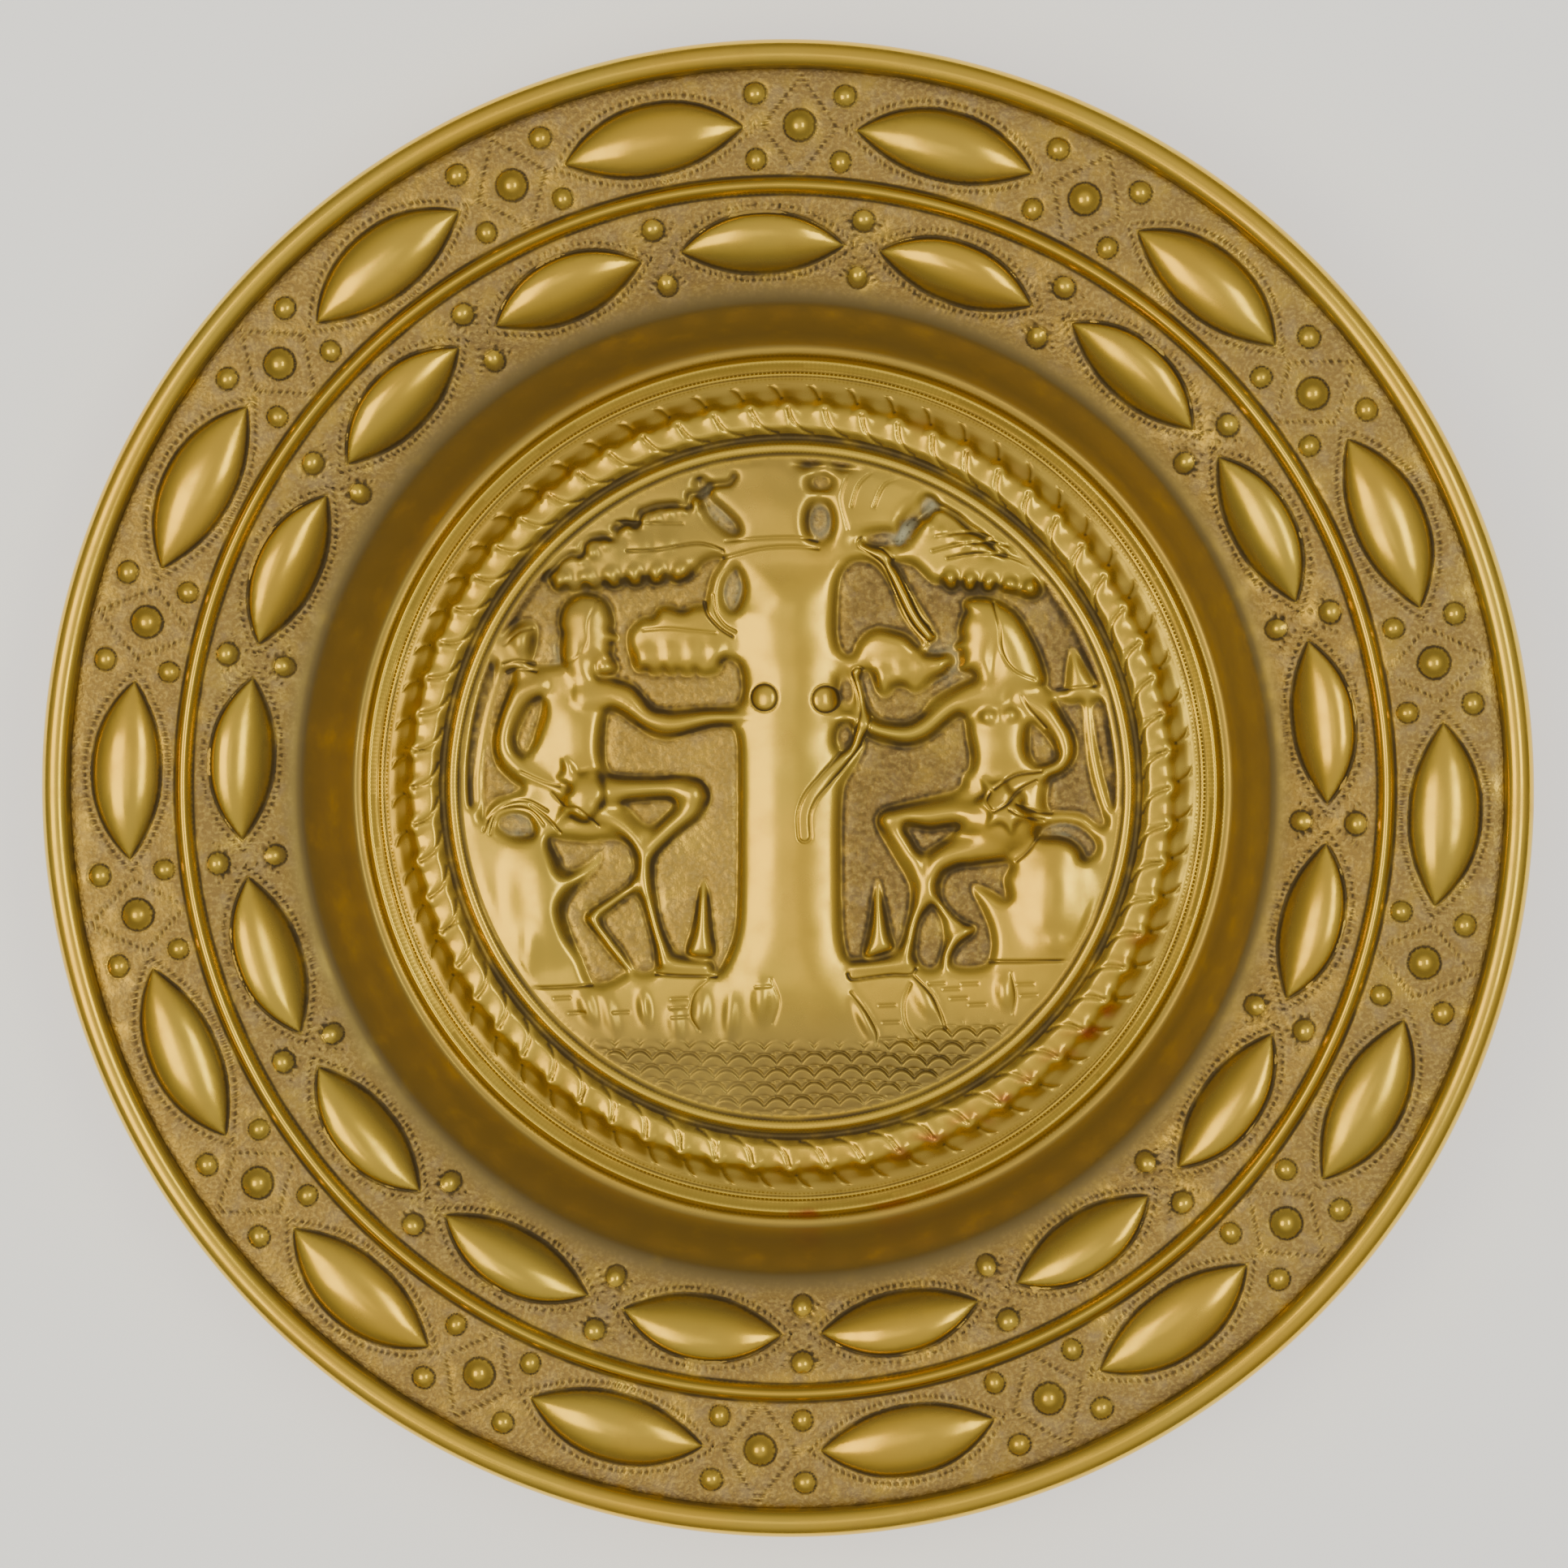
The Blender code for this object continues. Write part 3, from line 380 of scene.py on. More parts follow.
def oval(field, centre, half, turn=0.0):
    """How far out from an ellipse's middle: 1 on its edge."""
    cosine, sine = math.cos(math.radians(turn)), math.sin(math.radians(turn))
    across = (field - centre) @ np.array([[cosine, -sine], [sine, cosine]])
    return np.hypot(*(across / half).T)


# ---- height from distance ----------------------------------------------------------------------------
def cushion(signed, edge):
    """0 outside, rising in a quarter-round over the edge width to 1 inside."""
    depth = np.clip(-signed, 0, None)
    share = np.clip(depth * depth / (depth + 0.3) / edge, 0, 1)
    return np.sqrt(1 - (1 - share) ** 2)


def swell(field, centre, half, turn=0.0):
    """A soft rise that fades to nothing at an ellipse."""
    return (1 - np.clip(oval(field, centre, half, turn), 0, 1) ** 2) ** 2


def merged(parts, blend):
    """The highest of several forms, with a soft valley where two meet."""
    height = parts[0]
    for part in parts[1:]:
        gap = np.clip(blend - np.abs(height - part), 0, None)
        height = np.maximum(height, part) + gap * gap / (4 * blend)
    return height


# ---- the picture: what is pressed, sunk and cut ------------------------------------------------------
def scallops(start, end, count, bulge):
    """Points along an edge of rounded leaves; a positive bulge is to the right of the way there."""
    start, end = np.array(start, float), np.array(end, float)
    side = (end - start)[::-1] * (1, -1) / np.hypot(*(end - start))
    points = []
    for k in range(count):
        for share, out in ((0.0, 0.0), (0.28, 0.8), (0.72, 0.8)):
            points.append(start + (end - start) * (k + share) / count + side * bulge * out)
    return [tuple(p) for p in points]


# the sunk ground, as what lies between the raised forms
POCKETS = {
    "sky_left": [
        (-68.3, 60.3), (-66, 56), (-63.5, 53), *scallops((-61, 54), (-28, 57), 6, 1.6), (-25.3, 58),
        (-23.5, 60.6), (-20.5, 62), (-18.7, 61.4), (-21, 57.5), (-22.3, 53), (-23.2, 49.8), (-26, 49.3),
        (-29, 48.1), (-32.5, 49.1), (-35.5, 48.8), (-37.5, 46.4), (-40.5, 45.7), (-43.8, 42.5), (-44.2, 38),
        (-43, 33), (-44, 29.5), (-49, 30.3), (-54, 31), (-61, 33.3), (-66, 32.8), (-70, 33.2), (-69.1, 38),
        (-68.8, 43), (-70.8, 45.2), (-75, 44.2), (-79, 41.3), (-81.3, 41), (-80, 45.5), (-76, 52.3),
        (-72, 57)],
    "moat_left": [
        (-46, 36), (-43.5, 34), (-41.8, 31.3), *scallops((-39, 31.3), (-21, 31), 4, 1.0), (-19.2, 31.2),
        (-18, 33.6), (-16, 34.5), (-13.9, 33), (-12.9, 29.5), (-13, 25), (-14.8, 22.3), (-20, 21.7),
        (-28, 21.3), (-34.5, 21), (-37.5, 22), (-40, 25), (-43.5, 28.4), (-48, 30.4)],
    "trunk_eye": [(-14.5, 59), (-17, 56.5), (-18, 52.5), (-17, 49), (-15.3, 48), (-13.5, 51), (-12.9, 55)],
    "under_arm_left": [
        (-49.3, 20.2), (-50.3, 14), (-50.4, 8), (-49.2, 4.4), (-46, 3), (-36, 2.9), (-28, 3.4),
        (-23.6, 1.6), (-21.6, -2.6), (-23.2, -7.4), (-29, -12), (-34, -16.6), (-36.8, -21), (-36.4, -30),
        (-34.7, -38), (-32, -43.6), (-29, -45.6), (-22, -46.2), (-20.2, -49.8), (-18.4, -48.4),
        (-15.6, -42), (-14.3, -34), (-14, -15), (-14, 6), (-14.4, 13), (-16, 16), (-20, 16.4), (-26, 15),
        (-33, 13), (-38, 14), (-43, 17.4), (-46.6, 20)],
    "thighs_left": [
        (-44.8, -4.6), (-39, -3.7), (-33, -3.6), (-32, -5), (-34.5, -8), (-37.6, -10.4), (-40, -9.8),
        (-43, -6.8)],
    "behind_leg_left": [
        (-65, -14.2), (-63.5, -19), (-61.3, -22.8), (-58, -22.6), (-54, -20.2), (-51.7, -18),
        (-52.4, -21.4), (-56, -25.6), (-60, -30), (-61.5, -34), (-60, -40), (-57, -46), (-54, -53),
        (-50, -53.3), (-46.5, -51.6), (-44.6, -50), (-48, -46.6), (-52.4, -41), (-56, -36), (-54, -33.4),
        (-49, -30), (-44.5, -27), (-42.3, -23.5), (-42.2, -19.5), (-44, -16), (-48, -14.2), (-55, -14.8),
        (-60, -14.4)],
    "between_legs_left": [
        (-43.4, -29.4), (-48, -33), (-51, -36.6), (-48.6, -40.8), (-45.3, -45), (-42.6, -49.6),
        (-39, -50.6), (-36.7, -49), (-37, -44), (-38.4, -38), (-39.7, -33.4), (-41, -30.4)],
    "elbow_left": [
        (-68.2, 23.6), (-67.7, 20.6), (-69, 16), (-70.6, 11), (-72.3, 9), (-74.2, 10.4), (-74.4, 13.6),
        (-72.6, 18), (-70.6, 21.6)],
    "stem_outer_left": [
        (-82.3, 34.5), (-84.8, 26), (-86.8, 15), (-87.8, 5), (-87.2, -4), (-86, -4), (-86.1, 2), (-85, 10),
        (-83.2, 20), (-80.4, 30)],
    "stem_inner_left": [
        (-78, 30.6), (-75.6, 31), (-77, 26), (-79.6, 19), (-81, 12), (-80, 5.6), (-76, 1.6), (-73.4, -0.4),
        (-76, -2.2), (-80, -3.4), (-82.6, -6), (-83.6, -8.6), (-84, -2), (-83.8, 6), (-82.4, 16),
        (-80.4, 24)],
    "plume_left": [
        (-79.4, -11), (-78.6, -8.4), (-75, -7.3), (-71.4, -8.6), (-70, -12), (-71.4, -13.2), (-76, -13.3)],
    "bud_top": [
        (-24.4, 83.4), (-22.6, 81.6), (-21.6, 78), (-18.4, 75), (-15, 71.6), (-14.3, 69.2), (-16, 68.8),
        (-19, 71), (-21.8, 74), (-23.4, 78), (-24.8, 81.4)],
    "serpent_left": [
        (18.5, 61.4), (15.6, 59.7), (13.6, 56), (13, 50), (12.8, 43), (13.6, 38.4), (15.4, 36),
        (17.2, 36.4), (18.4, 39.2), (20.8, 42), (24, 43.3), (28, 42.7), (32, 41.3), (35.4, 38.2),
        (35.6, 39.8), (32.6, 43.6), (30.2, 47.4), (28.4, 52.4), (26, 57), (22.6, 60.6)],
    "sky_right": [
        (28.4, 61), (33, 60.2), (36, 57.8), (38.6, 55.4), *scallops((41.5, 55), (61, 54), 4, 1.6),
        (63, 51.4), (66, 51), (68.4, 52.4), (69, 55.6), (68.5, 59), (70.2, 59), (73.6, 54), (78.6, 46),
        (82.4, 38), (85, 29), (83.4, 28.4), (80.6, 32.4), (77.6, 37), (76, 37), (75, 32), (74.4, 27),
        (71.6, 25.8), (69, 28), (62, 32), (50, 31), (46, 29.5), (43, 31), (45.2, 34), (43.6, 36.5),
        (40, 36.2), (37.2, 36.8), (38, 38.6), (39.9, 40.4), (38.6, 43.6), (35.4, 48.8), (32, 54.6),
        (29.6, 59)],
    "moat_right": [
        (20.6, 31.5), (19.2, 29.6), (20, 26), (21.2, 21.8), (23.4, 19), (27, 17.8), (32, 17.8), (35.6, 20),
        (38.2, 23.4), (42, 26.2), (46, 28.4), (49.8, 30.2), (50, 32.6), (48, 34), (44.6, 32.6), (43, 31),
        (39.5, 29), (37, 26.9), (33.8, 25.7), (31.4, 27), (28.9, 27), (27.3, 25.2), (25, 24.7), (23.2, 27),
        (22.3, 30.2)],
    "under_arm_right": [
        (21, 13.4), (25, 12.3), (31, 11.2), (35, 11.8), (39, 14), (43, 17.4), (46, 19.4), (47.6, 18),
        (48.1, 14), (49.1, 9), (48.8, 5.4), (47.2, 3.4), (46.6, 0.8), (44, -1.2), (38, -2.6), (31, -4.2),
        (26, -5.8), (23.8, -8), (24.2, -11.4), (28, -18), (31.8, -24.4), (32.9, -28.4), (32.4, -34),
        (30.8, -41), (28, -44.2), (24, -45.7), (19, -46.4), (16.4, -46.2), (15, -43), (14.2, -36),
        (14, -22), (14, -8), (14.8, 0.4), (17.6, 5.6), (20, 10.4)],
    "thighs_right": [
        (32, -10.6), (38, -11.3), (45.2, -10.6), (42, -14), (37.6, -16.9), (35.4, -17), (33.4, -14)],
    "between_legs_right": [
        (38.8, -32.4), (41, -35), (42, -40), (41.4, -45), (39.6, -48.6), (36.6, -48.6), (34.6, -46),
        (34.4, -41), (35.8, -35.6)],
    "behind_leg_right": [
        (46, -21.4), (52, -20.9), (59.4, -20.4), (58.2, -24.6), (58.6, -29.8), (55, -28), (52, -26.7),
        (50, -26.6), (50.2, -29), (52.4, -33.4), (54.4, -38.6), (54.8, -43), (53.8, -47), (51, -48.4),
        (46, -48.4), (44.2, -46.8), (45, -44.2), (47.4, -41.6), (50, -39.4), (50.4, -37.6), (47, -36.2),
        (44, -33.8), (41.6, -30.6), (41.1, -27), (42.4, -23.4)],
    "elbow_right": [
        (65.8, 17.1), (69, 14.6), (71.6, 11), (72, 8.4), (69.6, 7), (67, 6.8), (65.4, 9), (65, 12.6)],
    "back_right": [
        (72.4, 23.6), (76, 22.7), (79.4, 22.4), (80, 15), (80.8, 8), (82.2, 1), (84.6, -6.4), (85.2, -9.4),
        (83.6, -10), (79.6, -7), (74, -6.3), (70.4, -6), (69.7, -2), (70.6, 2.2), (74, 4), (77, 7),
        (78, 11), (77, 15), (74.6, 19)],
    "stem_outer_right": [
        (82, 22.4), (86, 22.6), (87, 15), (88.6, 5), (88.6, -3), (87.3, -4.6), (85.6, 1), (83.9, 8),
        (82.6, 15)],
    "plume_right": [
        (67.8, -12.4), (70, -10.2), (74, -9.3), (78, -10), (81.6, -12.6), (83.2, -15.6), (82.2, -18),
        (80.4, -18.5), (79, -16), (76.4, -13.8), (73, -12.8)]}
# holes beside the fruit and at the top: middle, half-sizes, turn
FRUIT_HOLES = [
    ((8.3, 72), (3.0, 4.8), 0), ((8.5, 82.6), (2.4, 1.9), 0), ((6, 88), (2.6, 1.4), 0),
    ((14.5, 88), (3, 1.6), 0), ((25.2, 67.2), (4.6, 1.9), 2), ((32, 70.2), (1.8, 4.4), -30),
    ((37.4, 76.2), (1.6, 2.4), -30), ((15.4, 26), (2, 3.7), 4), ((15, 13.8), (2.1, 3.4), -8)]

# a head in profile with its neck, facing right, as shares of its height from the chin
HEAD_OUTLINE = [
    (0.24, 0.0), (0.3, 0.05), (0.275, 0.125), (0.31, 0.165), (0.292, 0.195), (0.32, 0.225), (0.3, 0.27),
    (0.395, 0.315), (0.315, 0.46), (0.335, 0.53), (0.325, 0.68), (0.25, 0.86), (0.08, 0.98), (-0.15, 0.99),
    (-0.36, 0.84), (-0.44, 0.6), (-0.38, 0.36), (-0.3, 0.16), (-0.34, -0.1), (-0.3, -0.35), (0.12, -0.35),
    (0.08, -0.12), (0.12, -0.02)]


def head_outline(chin, height, facing, tilt):
    """A head in profile with its neck, from the chin up, by the usual divisions of a head's height."""
    cosine, sine = math.cos(math.radians(tilt)), math.sin(math.radians(tilt))
    points = np.array(HEAD_OUTLINE) * height
    points = points @ np.array([[cosine, sine], [-sine, cosine]]) * (facing, 1)
    return [tuple(p) for p in points + chin]


HEAD_HEIGHT = 19.4
HEAD_TILT = 4
ADAM_HEAD = head_outline((-53.6, 33.4), HEAD_HEIGHT, 1, HEAD_TILT)
ADAM_HAIR = [
    (-49.8, 47.4), (-51.8, 50.6), (-55.2, 52), (-58.8, 50.4), (-61.4, 46), (-62.4, 41), (-62.4, 34),
    (-60, 28), (-54, 26.5), (-51.6, 31), (-52, 38), (-51, 45)]
ADAM_BEARD = [(-52.6, 36), (-48.6, 35.4), (-46.8, 33), (-47.4, 30.8), (-50.4, 29.6), (-53.4, 31)]
EVE_HEAD = head_outline((51.6, 31.2), HEAD_HEIGHT, -1, HEAD_TILT)
EVE_HAIR = [
    (47, 49.6), (50.5, 51.8), (56, 51), (61.6, 47.4), (66, 40.4), (69, 33), (69.2, 27.6), (62, 24),
    (55, 24), (52.4, 29), (53.6, 36), (50, 43)]
# the leaves that both hold before them
LEAVES_WORN = [
    [(-61.6, 8.4), (-58.8, 6.4), (-57.4, 4), (-52.8, 4.8), (-51, 2.4), (-49.8, -2), (-51.6, -6.4),
     (-55.4, -9.4), (-60, -8.2), (-64, -11), (-62.2, -6.4), (-60.8, -3), (-60.2, 0.4), (-63.6, 2),
     (-61.8, 4.6)],
    [(52, 3.4), (55, 1.8), (58.4, 2.6), (60.4, -0.6), (64, -1.6), (63.4, -5), (66, -8.4), (62.4, -9),
     (60.6, -12.6), (57.8, -9.6), (53.8, -10.4), (54.4, -6.4), (50.6, -4), (53, -1)]]
# each limb: the places along its middle, and its half-widths from one end to the other
ADAM_LIMBS = [
    ([(-55, 25), (-50, 24.8), (-44, 23.4), (-38, 19), (-32, 17.1), (-22, 18.6), (-12, 19), (-6, 18.4)],
     (5, 4.4, 3.8, 3.3, 3, 2.2, 1.6)),
    ([(-68, 27.5), (-73.5, 25), (-77.5, 18), (-78, 11), (-73.5, 5), (-66, 1), (-60, -2.5)],
     (3.5, 3.6, 3.4, 3.2, 2.6, 2)),
    ([(-55, -2), (-44, -0.6), (-34, -0.4), (-27, -1.6)], (6, 4, 3.6, 4.4)),
    ([(-25.5, -2), (-28, -7), (-33.5, -12), (-38.5, -17.5), (-39.6, -24), (-38, -33), (-35.5, -42),
     (-34, -47)], (4, 3, 2.8, 2.6, 2.4, 2.2, 2.6)),
    ([(-56, -6), (-47, -9.6), (-41.6, -14.6), (-40, -20), (-42, -25.2)], (4.5, 3.4, 2.6, 2.4, 2)),
    ([(-42, -26.6), (-48.6, -31), (-53.6, -35.2), (-49.6, -41), (-44, -48.6)], (1.6, 1.8, 1.9, 1.6, 1.6)),
    ([(-33.5, -48), (-28, -48.6), (-21.6, -49)], (2.6, 2.2, 1.4))]
EVE_LIMBS = [
    ([(56, 26), (50, 24.6), (44, 21.4), (38, 17), (32, 14.6), (25, 15.8), (18, 18), (10, 18.8)],
     (5, 4.2, 3.6, 3.2, 3, 2.6, 1.5)),
    ([(63, 24.5), (69.5, 20.8), (73.6, 15), (74.4, 9), (70, 4.4), (62.5, 1.4), (56.5, -3)],
     (3.2, 3.2, 3, 2.8, 2.6, 3)),
    ([(60, -10), (50, -8), (40, -7.4), (28, -8.6)], (8, 6, 4, 3.2)),
    ([(27, -9), (31, -14), (34.5, -20), (36.4, -26), (35.6, -33), (33, -40), (31.6, -46)],
     (3.2, 3, 2.6, 2.6, 2, 2)),
    ([(56, -14), (48, -17), (41, -19.6), (38, -25), (38.6, -29.5)], (6, 4.4, 4, 3, 2.4)),
    ([(40.4, -30.6), (44.6, -35), (48.4, -37.8), (45, -41), (42.8, -45), (42.4, -48.6)],
     (1.7, 1.8, 2.2, 1.5, 1.2)),
    ([(32, -47.4), (25, -48.2), (17, -48.8)], (2.6, 2.2, 1.6))]
TRUNK = [
    (-15, 62), (-14.4, 40), (-14, 10), (-14, -15), (-14.4, -34), (-16, -43), (-19, -49.6), (-23, -60),
    (-27, -92), (27, -92), (21, -60), (16.8, -49), (15, -42), (14, -30), (14, 0), (13.4, 30), (13, 50),
    (14.6, 62)]
SERPENT = [(20, 66), (26, 62), (28.6, 57.6), (31.2, 51.6), (34.4, 45.4), (38.4, 40.8)]
SERPENT_RADII = (2.4, 2.3, 1.3)
SASH = [
    (18.6, 31), (20.4, 25), (20.8, 19.6), (18.6, 13.4), (14.4, 7.4), (9.6, 1.8), (6, -2.6), (4.2, -7.4),
    (4.4, -13)]
SASH_RADII = (1.9, 1.8, 1.7, 1.5, 0.8)
SPIKES = [
    [(-28, -45.8), (-26.4, -38), (-24.8, -29), (-23.4, -25.3), (-22, -30), (-21, -38), (-20.6, -46.2)],
    [(20.4, -46.2), (21.6, -38), (23, -29), (24, -25.3), (25.8, -32), (27.4, -39), (28.2, -44.2)]]
FRUITS = [(-6.6, 24.4), (10, 23.9)]
FRUIT_RADIUS = 3.7
# soft rises on the raised forms: centre, half-sizes, turn, rise
SWELLINGS = [
    ((-67, -30), (13, 22), 8, 2.6), ((71.5, -28), (13, 22), -4, 2.6), ((-58, 14), (12, 17), 4, 1.6),
    ((-57, -4), (11, 9), 0, 1.0), ((57, 12), (11, 14), 0, 1.6), ((58, -6), (13, 12), 0, 1.6),
    ((0, 74), (26, 18), 0, 0.8), ((-42, 63), (26, 10), 4, 0.9), ((48, 64), (22, 9), -8, 0.9)]
# soft rises on the bodies, the leaves and the ground: centre, half-sizes, turn, rise
MUSCLES = [
    ((-60.5, -3.4), (3, 3), 0, 0.8), ((54, 19.6), (3.4, 3.2), 0, 1.5), ((60.2, 20), (3.2, 3), 0, 1.3),
    ((-26, -2), (5, 5), 0, 0.4), ((-71, -45), (4, 9), 0, 0.7), ((72.5, -42), (4, 4), 0, 0.5),
    ((-31, 44), (13, 8), 0, 0.8), ((30, 39), (12, 8), 0, 0.8), ((-73, 39.6), (4, 5), 0, 1.4),
    ((-49, -62), (3, 8), 16, 0.9), ((-31, -64), (3, 7), 4, 0.9), ((-16, -62), (2.6, 9), -4, 1.0)]
# rows of rounded leaf ends: start, end, how many, radius, rise
LEAF_ENDS = [
    ((-65, 55.4), (-26, 58.4), 6, 3.7, 1.5), ((41, 56.6), (68, 53.6), 5, 3.3, 2.0),
    ((-42, 35.4), (-17, 37.2), 4, 4.4, 0.9), ((23, 30), (43, 34), 4, 4.0, 0.9),
    ((-58, 65), (-30, 66), 4, 4.0, 0.6), ((45, 66), (60, 63.4), 3, 3.6, 0.6),
    ((-58, 60.2), (-42.3, 70.8), 5, 1.9, 0.9), ((-41.4, 71.4), (-20.2, 77.8), 6, 1.9, 0.9),
    ((33.1, 73.2), (56.1, 62.2), 7, 1.9, 0.8)]
LEAF_EDGE_LEFT = [
    (-66.5, 57.9), (-64, 59.5), (-62.3, 61.8), (-59.3, 63.3), (-56.6, 62.5), (-56, 66.1), (-54.1, 67.6),
    (-50.3, 68), (-46.9, 67.1), (-47.5, 70.3), (-44.6, 71.6), (-41.4, 70.9), (-40.5, 74.7), (-36.1, 76.2),
    (-31.3, 76.6), (-27, 75.8), (-27.2, 79.4), (-23.8, 79.2), (-21.5, 81.7), (-16.1, 82.3), (-14.8, 84.4)]
LEAF_EDGE_RIGHT = [
    (29.4, 66.5), (32.3, 70.9), (35.5, 72.8), (38.6, 76), (41.8, 75.6), (45.6, 73.3), (48.4, 70.7),
    (52.2, 68.4), (55.5, 65.2), (58.3, 62.9)]
# tufts of the ground: centre, half-length, half-width, turn
LEAF_TUFTS = [
    ((-55, -60), 5.4, 2.4, 22), ((-39.5, -60), 5.4, 1.8, 8), ((-24, -60.6), 5.8, 2.6, -6),
    ((-7.4, -58), 6.6, 2.8, -2), ((20.8, -63), 7.4, 1.9, 26), ((37, -57.4), 6.2, 2.9, 28),
    ((58.6, -55), 5.2, 2.6, 4)]
# chased lines: points, depth
LINES = [
    ([(-44, 64), (-36, 64.3), (-26, 66), (-21.5, 65.5), (-18, 64)], 0.45),
    ([(-47, 72), (-38, 71.5), (-29, 71.4)], 0.3),
    ([(-17.2, 66.6), (-8, 67.4), (2, 67.6), (7.6, 66.8)], 0.3),
    ([(-18, 62), (-8, 64.6), (1, 65.2), (8, 64.6)], 0.35),
    ([(-23.2, 50), (-22, 46.6), (-19, 43.2), (-15.4, 40.8)], 0.5),
    ([(-20.6, 52), (-20, 47.6), (-17.6, 44), (-14.6, 42.2)], 0.4),
    ([(-39.6, 42.6), (-33, 43), (-26, 42.4), (-20, 41.8)], 0.3),
    ([(39, 64), (46, 65.8), (54, 66.2), (60, 65.4)], 0.4),
    ([(43, 62), (50, 63.2), (57, 63), (62, 61.6), (66.6, 59.4)], 0.45),
    ([(40, 68), (48, 69), (55, 67.6)], 0.3), ([(17, 76), (19, 82), (24, 86.5)], 0.35),
    ([(23, 76), (26, 82), (32, 84)], 0.35), ([(16, 70), (14, 78), (15.6, 84)], 0.25),
    ([(-52, 50.6), (-54.6, 45), (-55, 39.4), (-57.6, 35.4), (-61, 33.6)], 0.2),
    ([(55.4, 50), (57, 44), (57.6, 37), (61, 32), (66.6, 29.4)], 0.35),
    ([(-64.6, -1.8), (-61, -5.4), (-57, -6), (-52, -10.6)], 0.3),
    ([(-73, 4), (-67, 1.4), (-62.6, 0.2)], 0.35), ([(-70.6, -5), (-66, -8.6), (-62.6, -12.4)], 0.45),
    ([(-83.4, -12), (-81.6, -8), (-77, -4.6), (-71.6, -3.8), (-66, -6.6)], 0.45),
    ([(-81.6, -13), (-80, -7.6), (-75.6, -5.8), (-70.6, -6.6), (-67, -10.4)], 0.4),
    ([(-77.6, 38.6), (-73.6, 42.0), (-70, 43)], 0.25), ([(-69.6, 33.4), (-74, 34.2), (-78, 33.2)], 0.4),
    ([(-69, 31.4), (-74, 32), (-77, 31)], 0.35), ([(63.2, 24.6), (65, 21.4), (69.4, 16.4)], 0.3),
    ([(68.4, 4.6), (61.4, 3.6), (55.8, 0)], 0.45), ([(67, 2), (62.4, -0.6), (59.4, -4), (56, -6)], 0.45),
    ([(54.6, -1), (53.6, -3.6), (55.4, -6)], 0.35), ([(60, -5.6), (64, -7.6), (69, -8.6)], 0.4),
    ([(62, -4.2), (67, -6.2), (71, -6.6)], 0.4), ([(67.6, -13), (65, -16.6), (61.6, -19.6)], 0.4),
    ([(72.6, 26.6), (78, 27.2), (85.6, 28)], 0.35), ([(-70, -54.8), (-60, -54.4), (-54, -53.8)], 0.5),
    ([(-36.4, -50.8), (-30, -51.3), (-20, -51.4)], 0.5),
    ([(16, -50.4), (17.2, -52), (22, -51.4), (28, -50.7), (33, -50.6), (34.6, -49)], 0.5),
    ([(54.4, -46.8), (62, -46.8), (75, -46.6)], 0.5), ([(-83, -54), (-70, -54.8)], 0.15),
    ([(-22, -52), (-26, -56), (-27, -62), (-24.6, -66)], 0.3),
    ([(34, -51), (38.6, -55.6), (40.8, -60), (42.4, -65)], 0.45),
    ([(33, -53), (31.2, -58), (31.8, -64), (35, -68.4)], 0.35),
    ([(17, -55.4), (21, -60.4), (24, -66), (24, -69.6)], 0.35),
    ([(60.4, -50), (61.6, -56), (60.8, -61)], 0.25), ([(-4.6, -52), (-2.6, -58), (-4.2, -64)], 0.25)]
# short strokes of the ground: the left end of each
DASHES = [
    (-48, -61.4), (-32, -57.6), (-32.4, -60), (-32, -62.6), (24.6, -59), (25.6, -63.6), (25, -68),
    (38, -53), (42, -54.4), (47, -53), (44, -57), (49, -58.6), (62, -53), (63, -56), (-64, -57.6),
    (-60, -61.6), (-9, -54)]
DASH_LENGTH, DASH_SLOPE, DASH_DEPTH = 4.2, 0.2, 0.3

# how each form is pressed: rise, width of its rounded edge
FIELD = (2.7, 3.0)
TRUNK_FORM = (4.6, 12.5)
SERPENT_FORM = (3.5, 2.4)
SASH_FORM = (3.6, 1.9)
HEAD_FORM = (4.4, 7.0)
LEAF_WORN_FORM = (1.3, 1.6)
SPIKE_FORM = (3.6, 3.0)
LIMB_RISE, LIMB_RISE_PER_WIDTH = 2.8, 0.24
LIMB_EDGE, LIMB_EDGE_PER_WIDTH = 0.6, 1.0
# the trunk comes up out of the ground and sinks into the leaves between these heights in the picture
TRUNK_FOOT, TRUNK_HEAD = (-86, -50), (48, 78)
FORM_BLEND = 1.6
SWELLING_EDGE = 4.0
LEAF_END_EDGE, LEAF_END_LENGTH = 1.4, 1.15
TUFT_RISE, TUFT_WIDTH, TUFT_LENGTH = 1.3, 1.35, 1.25
FRUIT_RISE, FRUIT_ROUNDNESS = 1.3, 0.7
# samples over which the pressed forms and their outlines are softened
FORM_SOFTNESS, EDGE_SOFTNESS = 2, 1

# cuts: depth, width
LEAF_EDGE_CUT = (1.7, 0.75)
FORM_FOOT_CUT = (0.3, 1.0)
FRUIT_CUT = (0.2, 0.4)
OUTLINE_CUT = (0.4, 0.4)
LINE_WIDTH = 0.42
# how far the groove lies outside a form, and the outlines from the serpent's and the sash's middle, and how
# far those keep inside the forms
FORM_FOOT_OUT = 0.5
SERPENT_OUTLINE, SASH_OUTLINE = 1.5, 1.7
OUTLINE_INSET = 0.4
# the scales: width, distance of the rows, their top, the ground's rise on the right and where it rises
SCALE_WIDTH, SCALE_ROW, SCALE_TOP = 6.8, 3.9, -68.0
SCALE_BANK, SCALE_BANK_PLACE = 6, (22, 46)
# how strongly a scale's rim is arched and its face rounded, its rise, and the cut along its rim
SCALE_ARCH, SCALE_ROUND = 2.4, 3
SCALE_RISE, SCALE_CUT = 0.95, (0.5, 0.14)


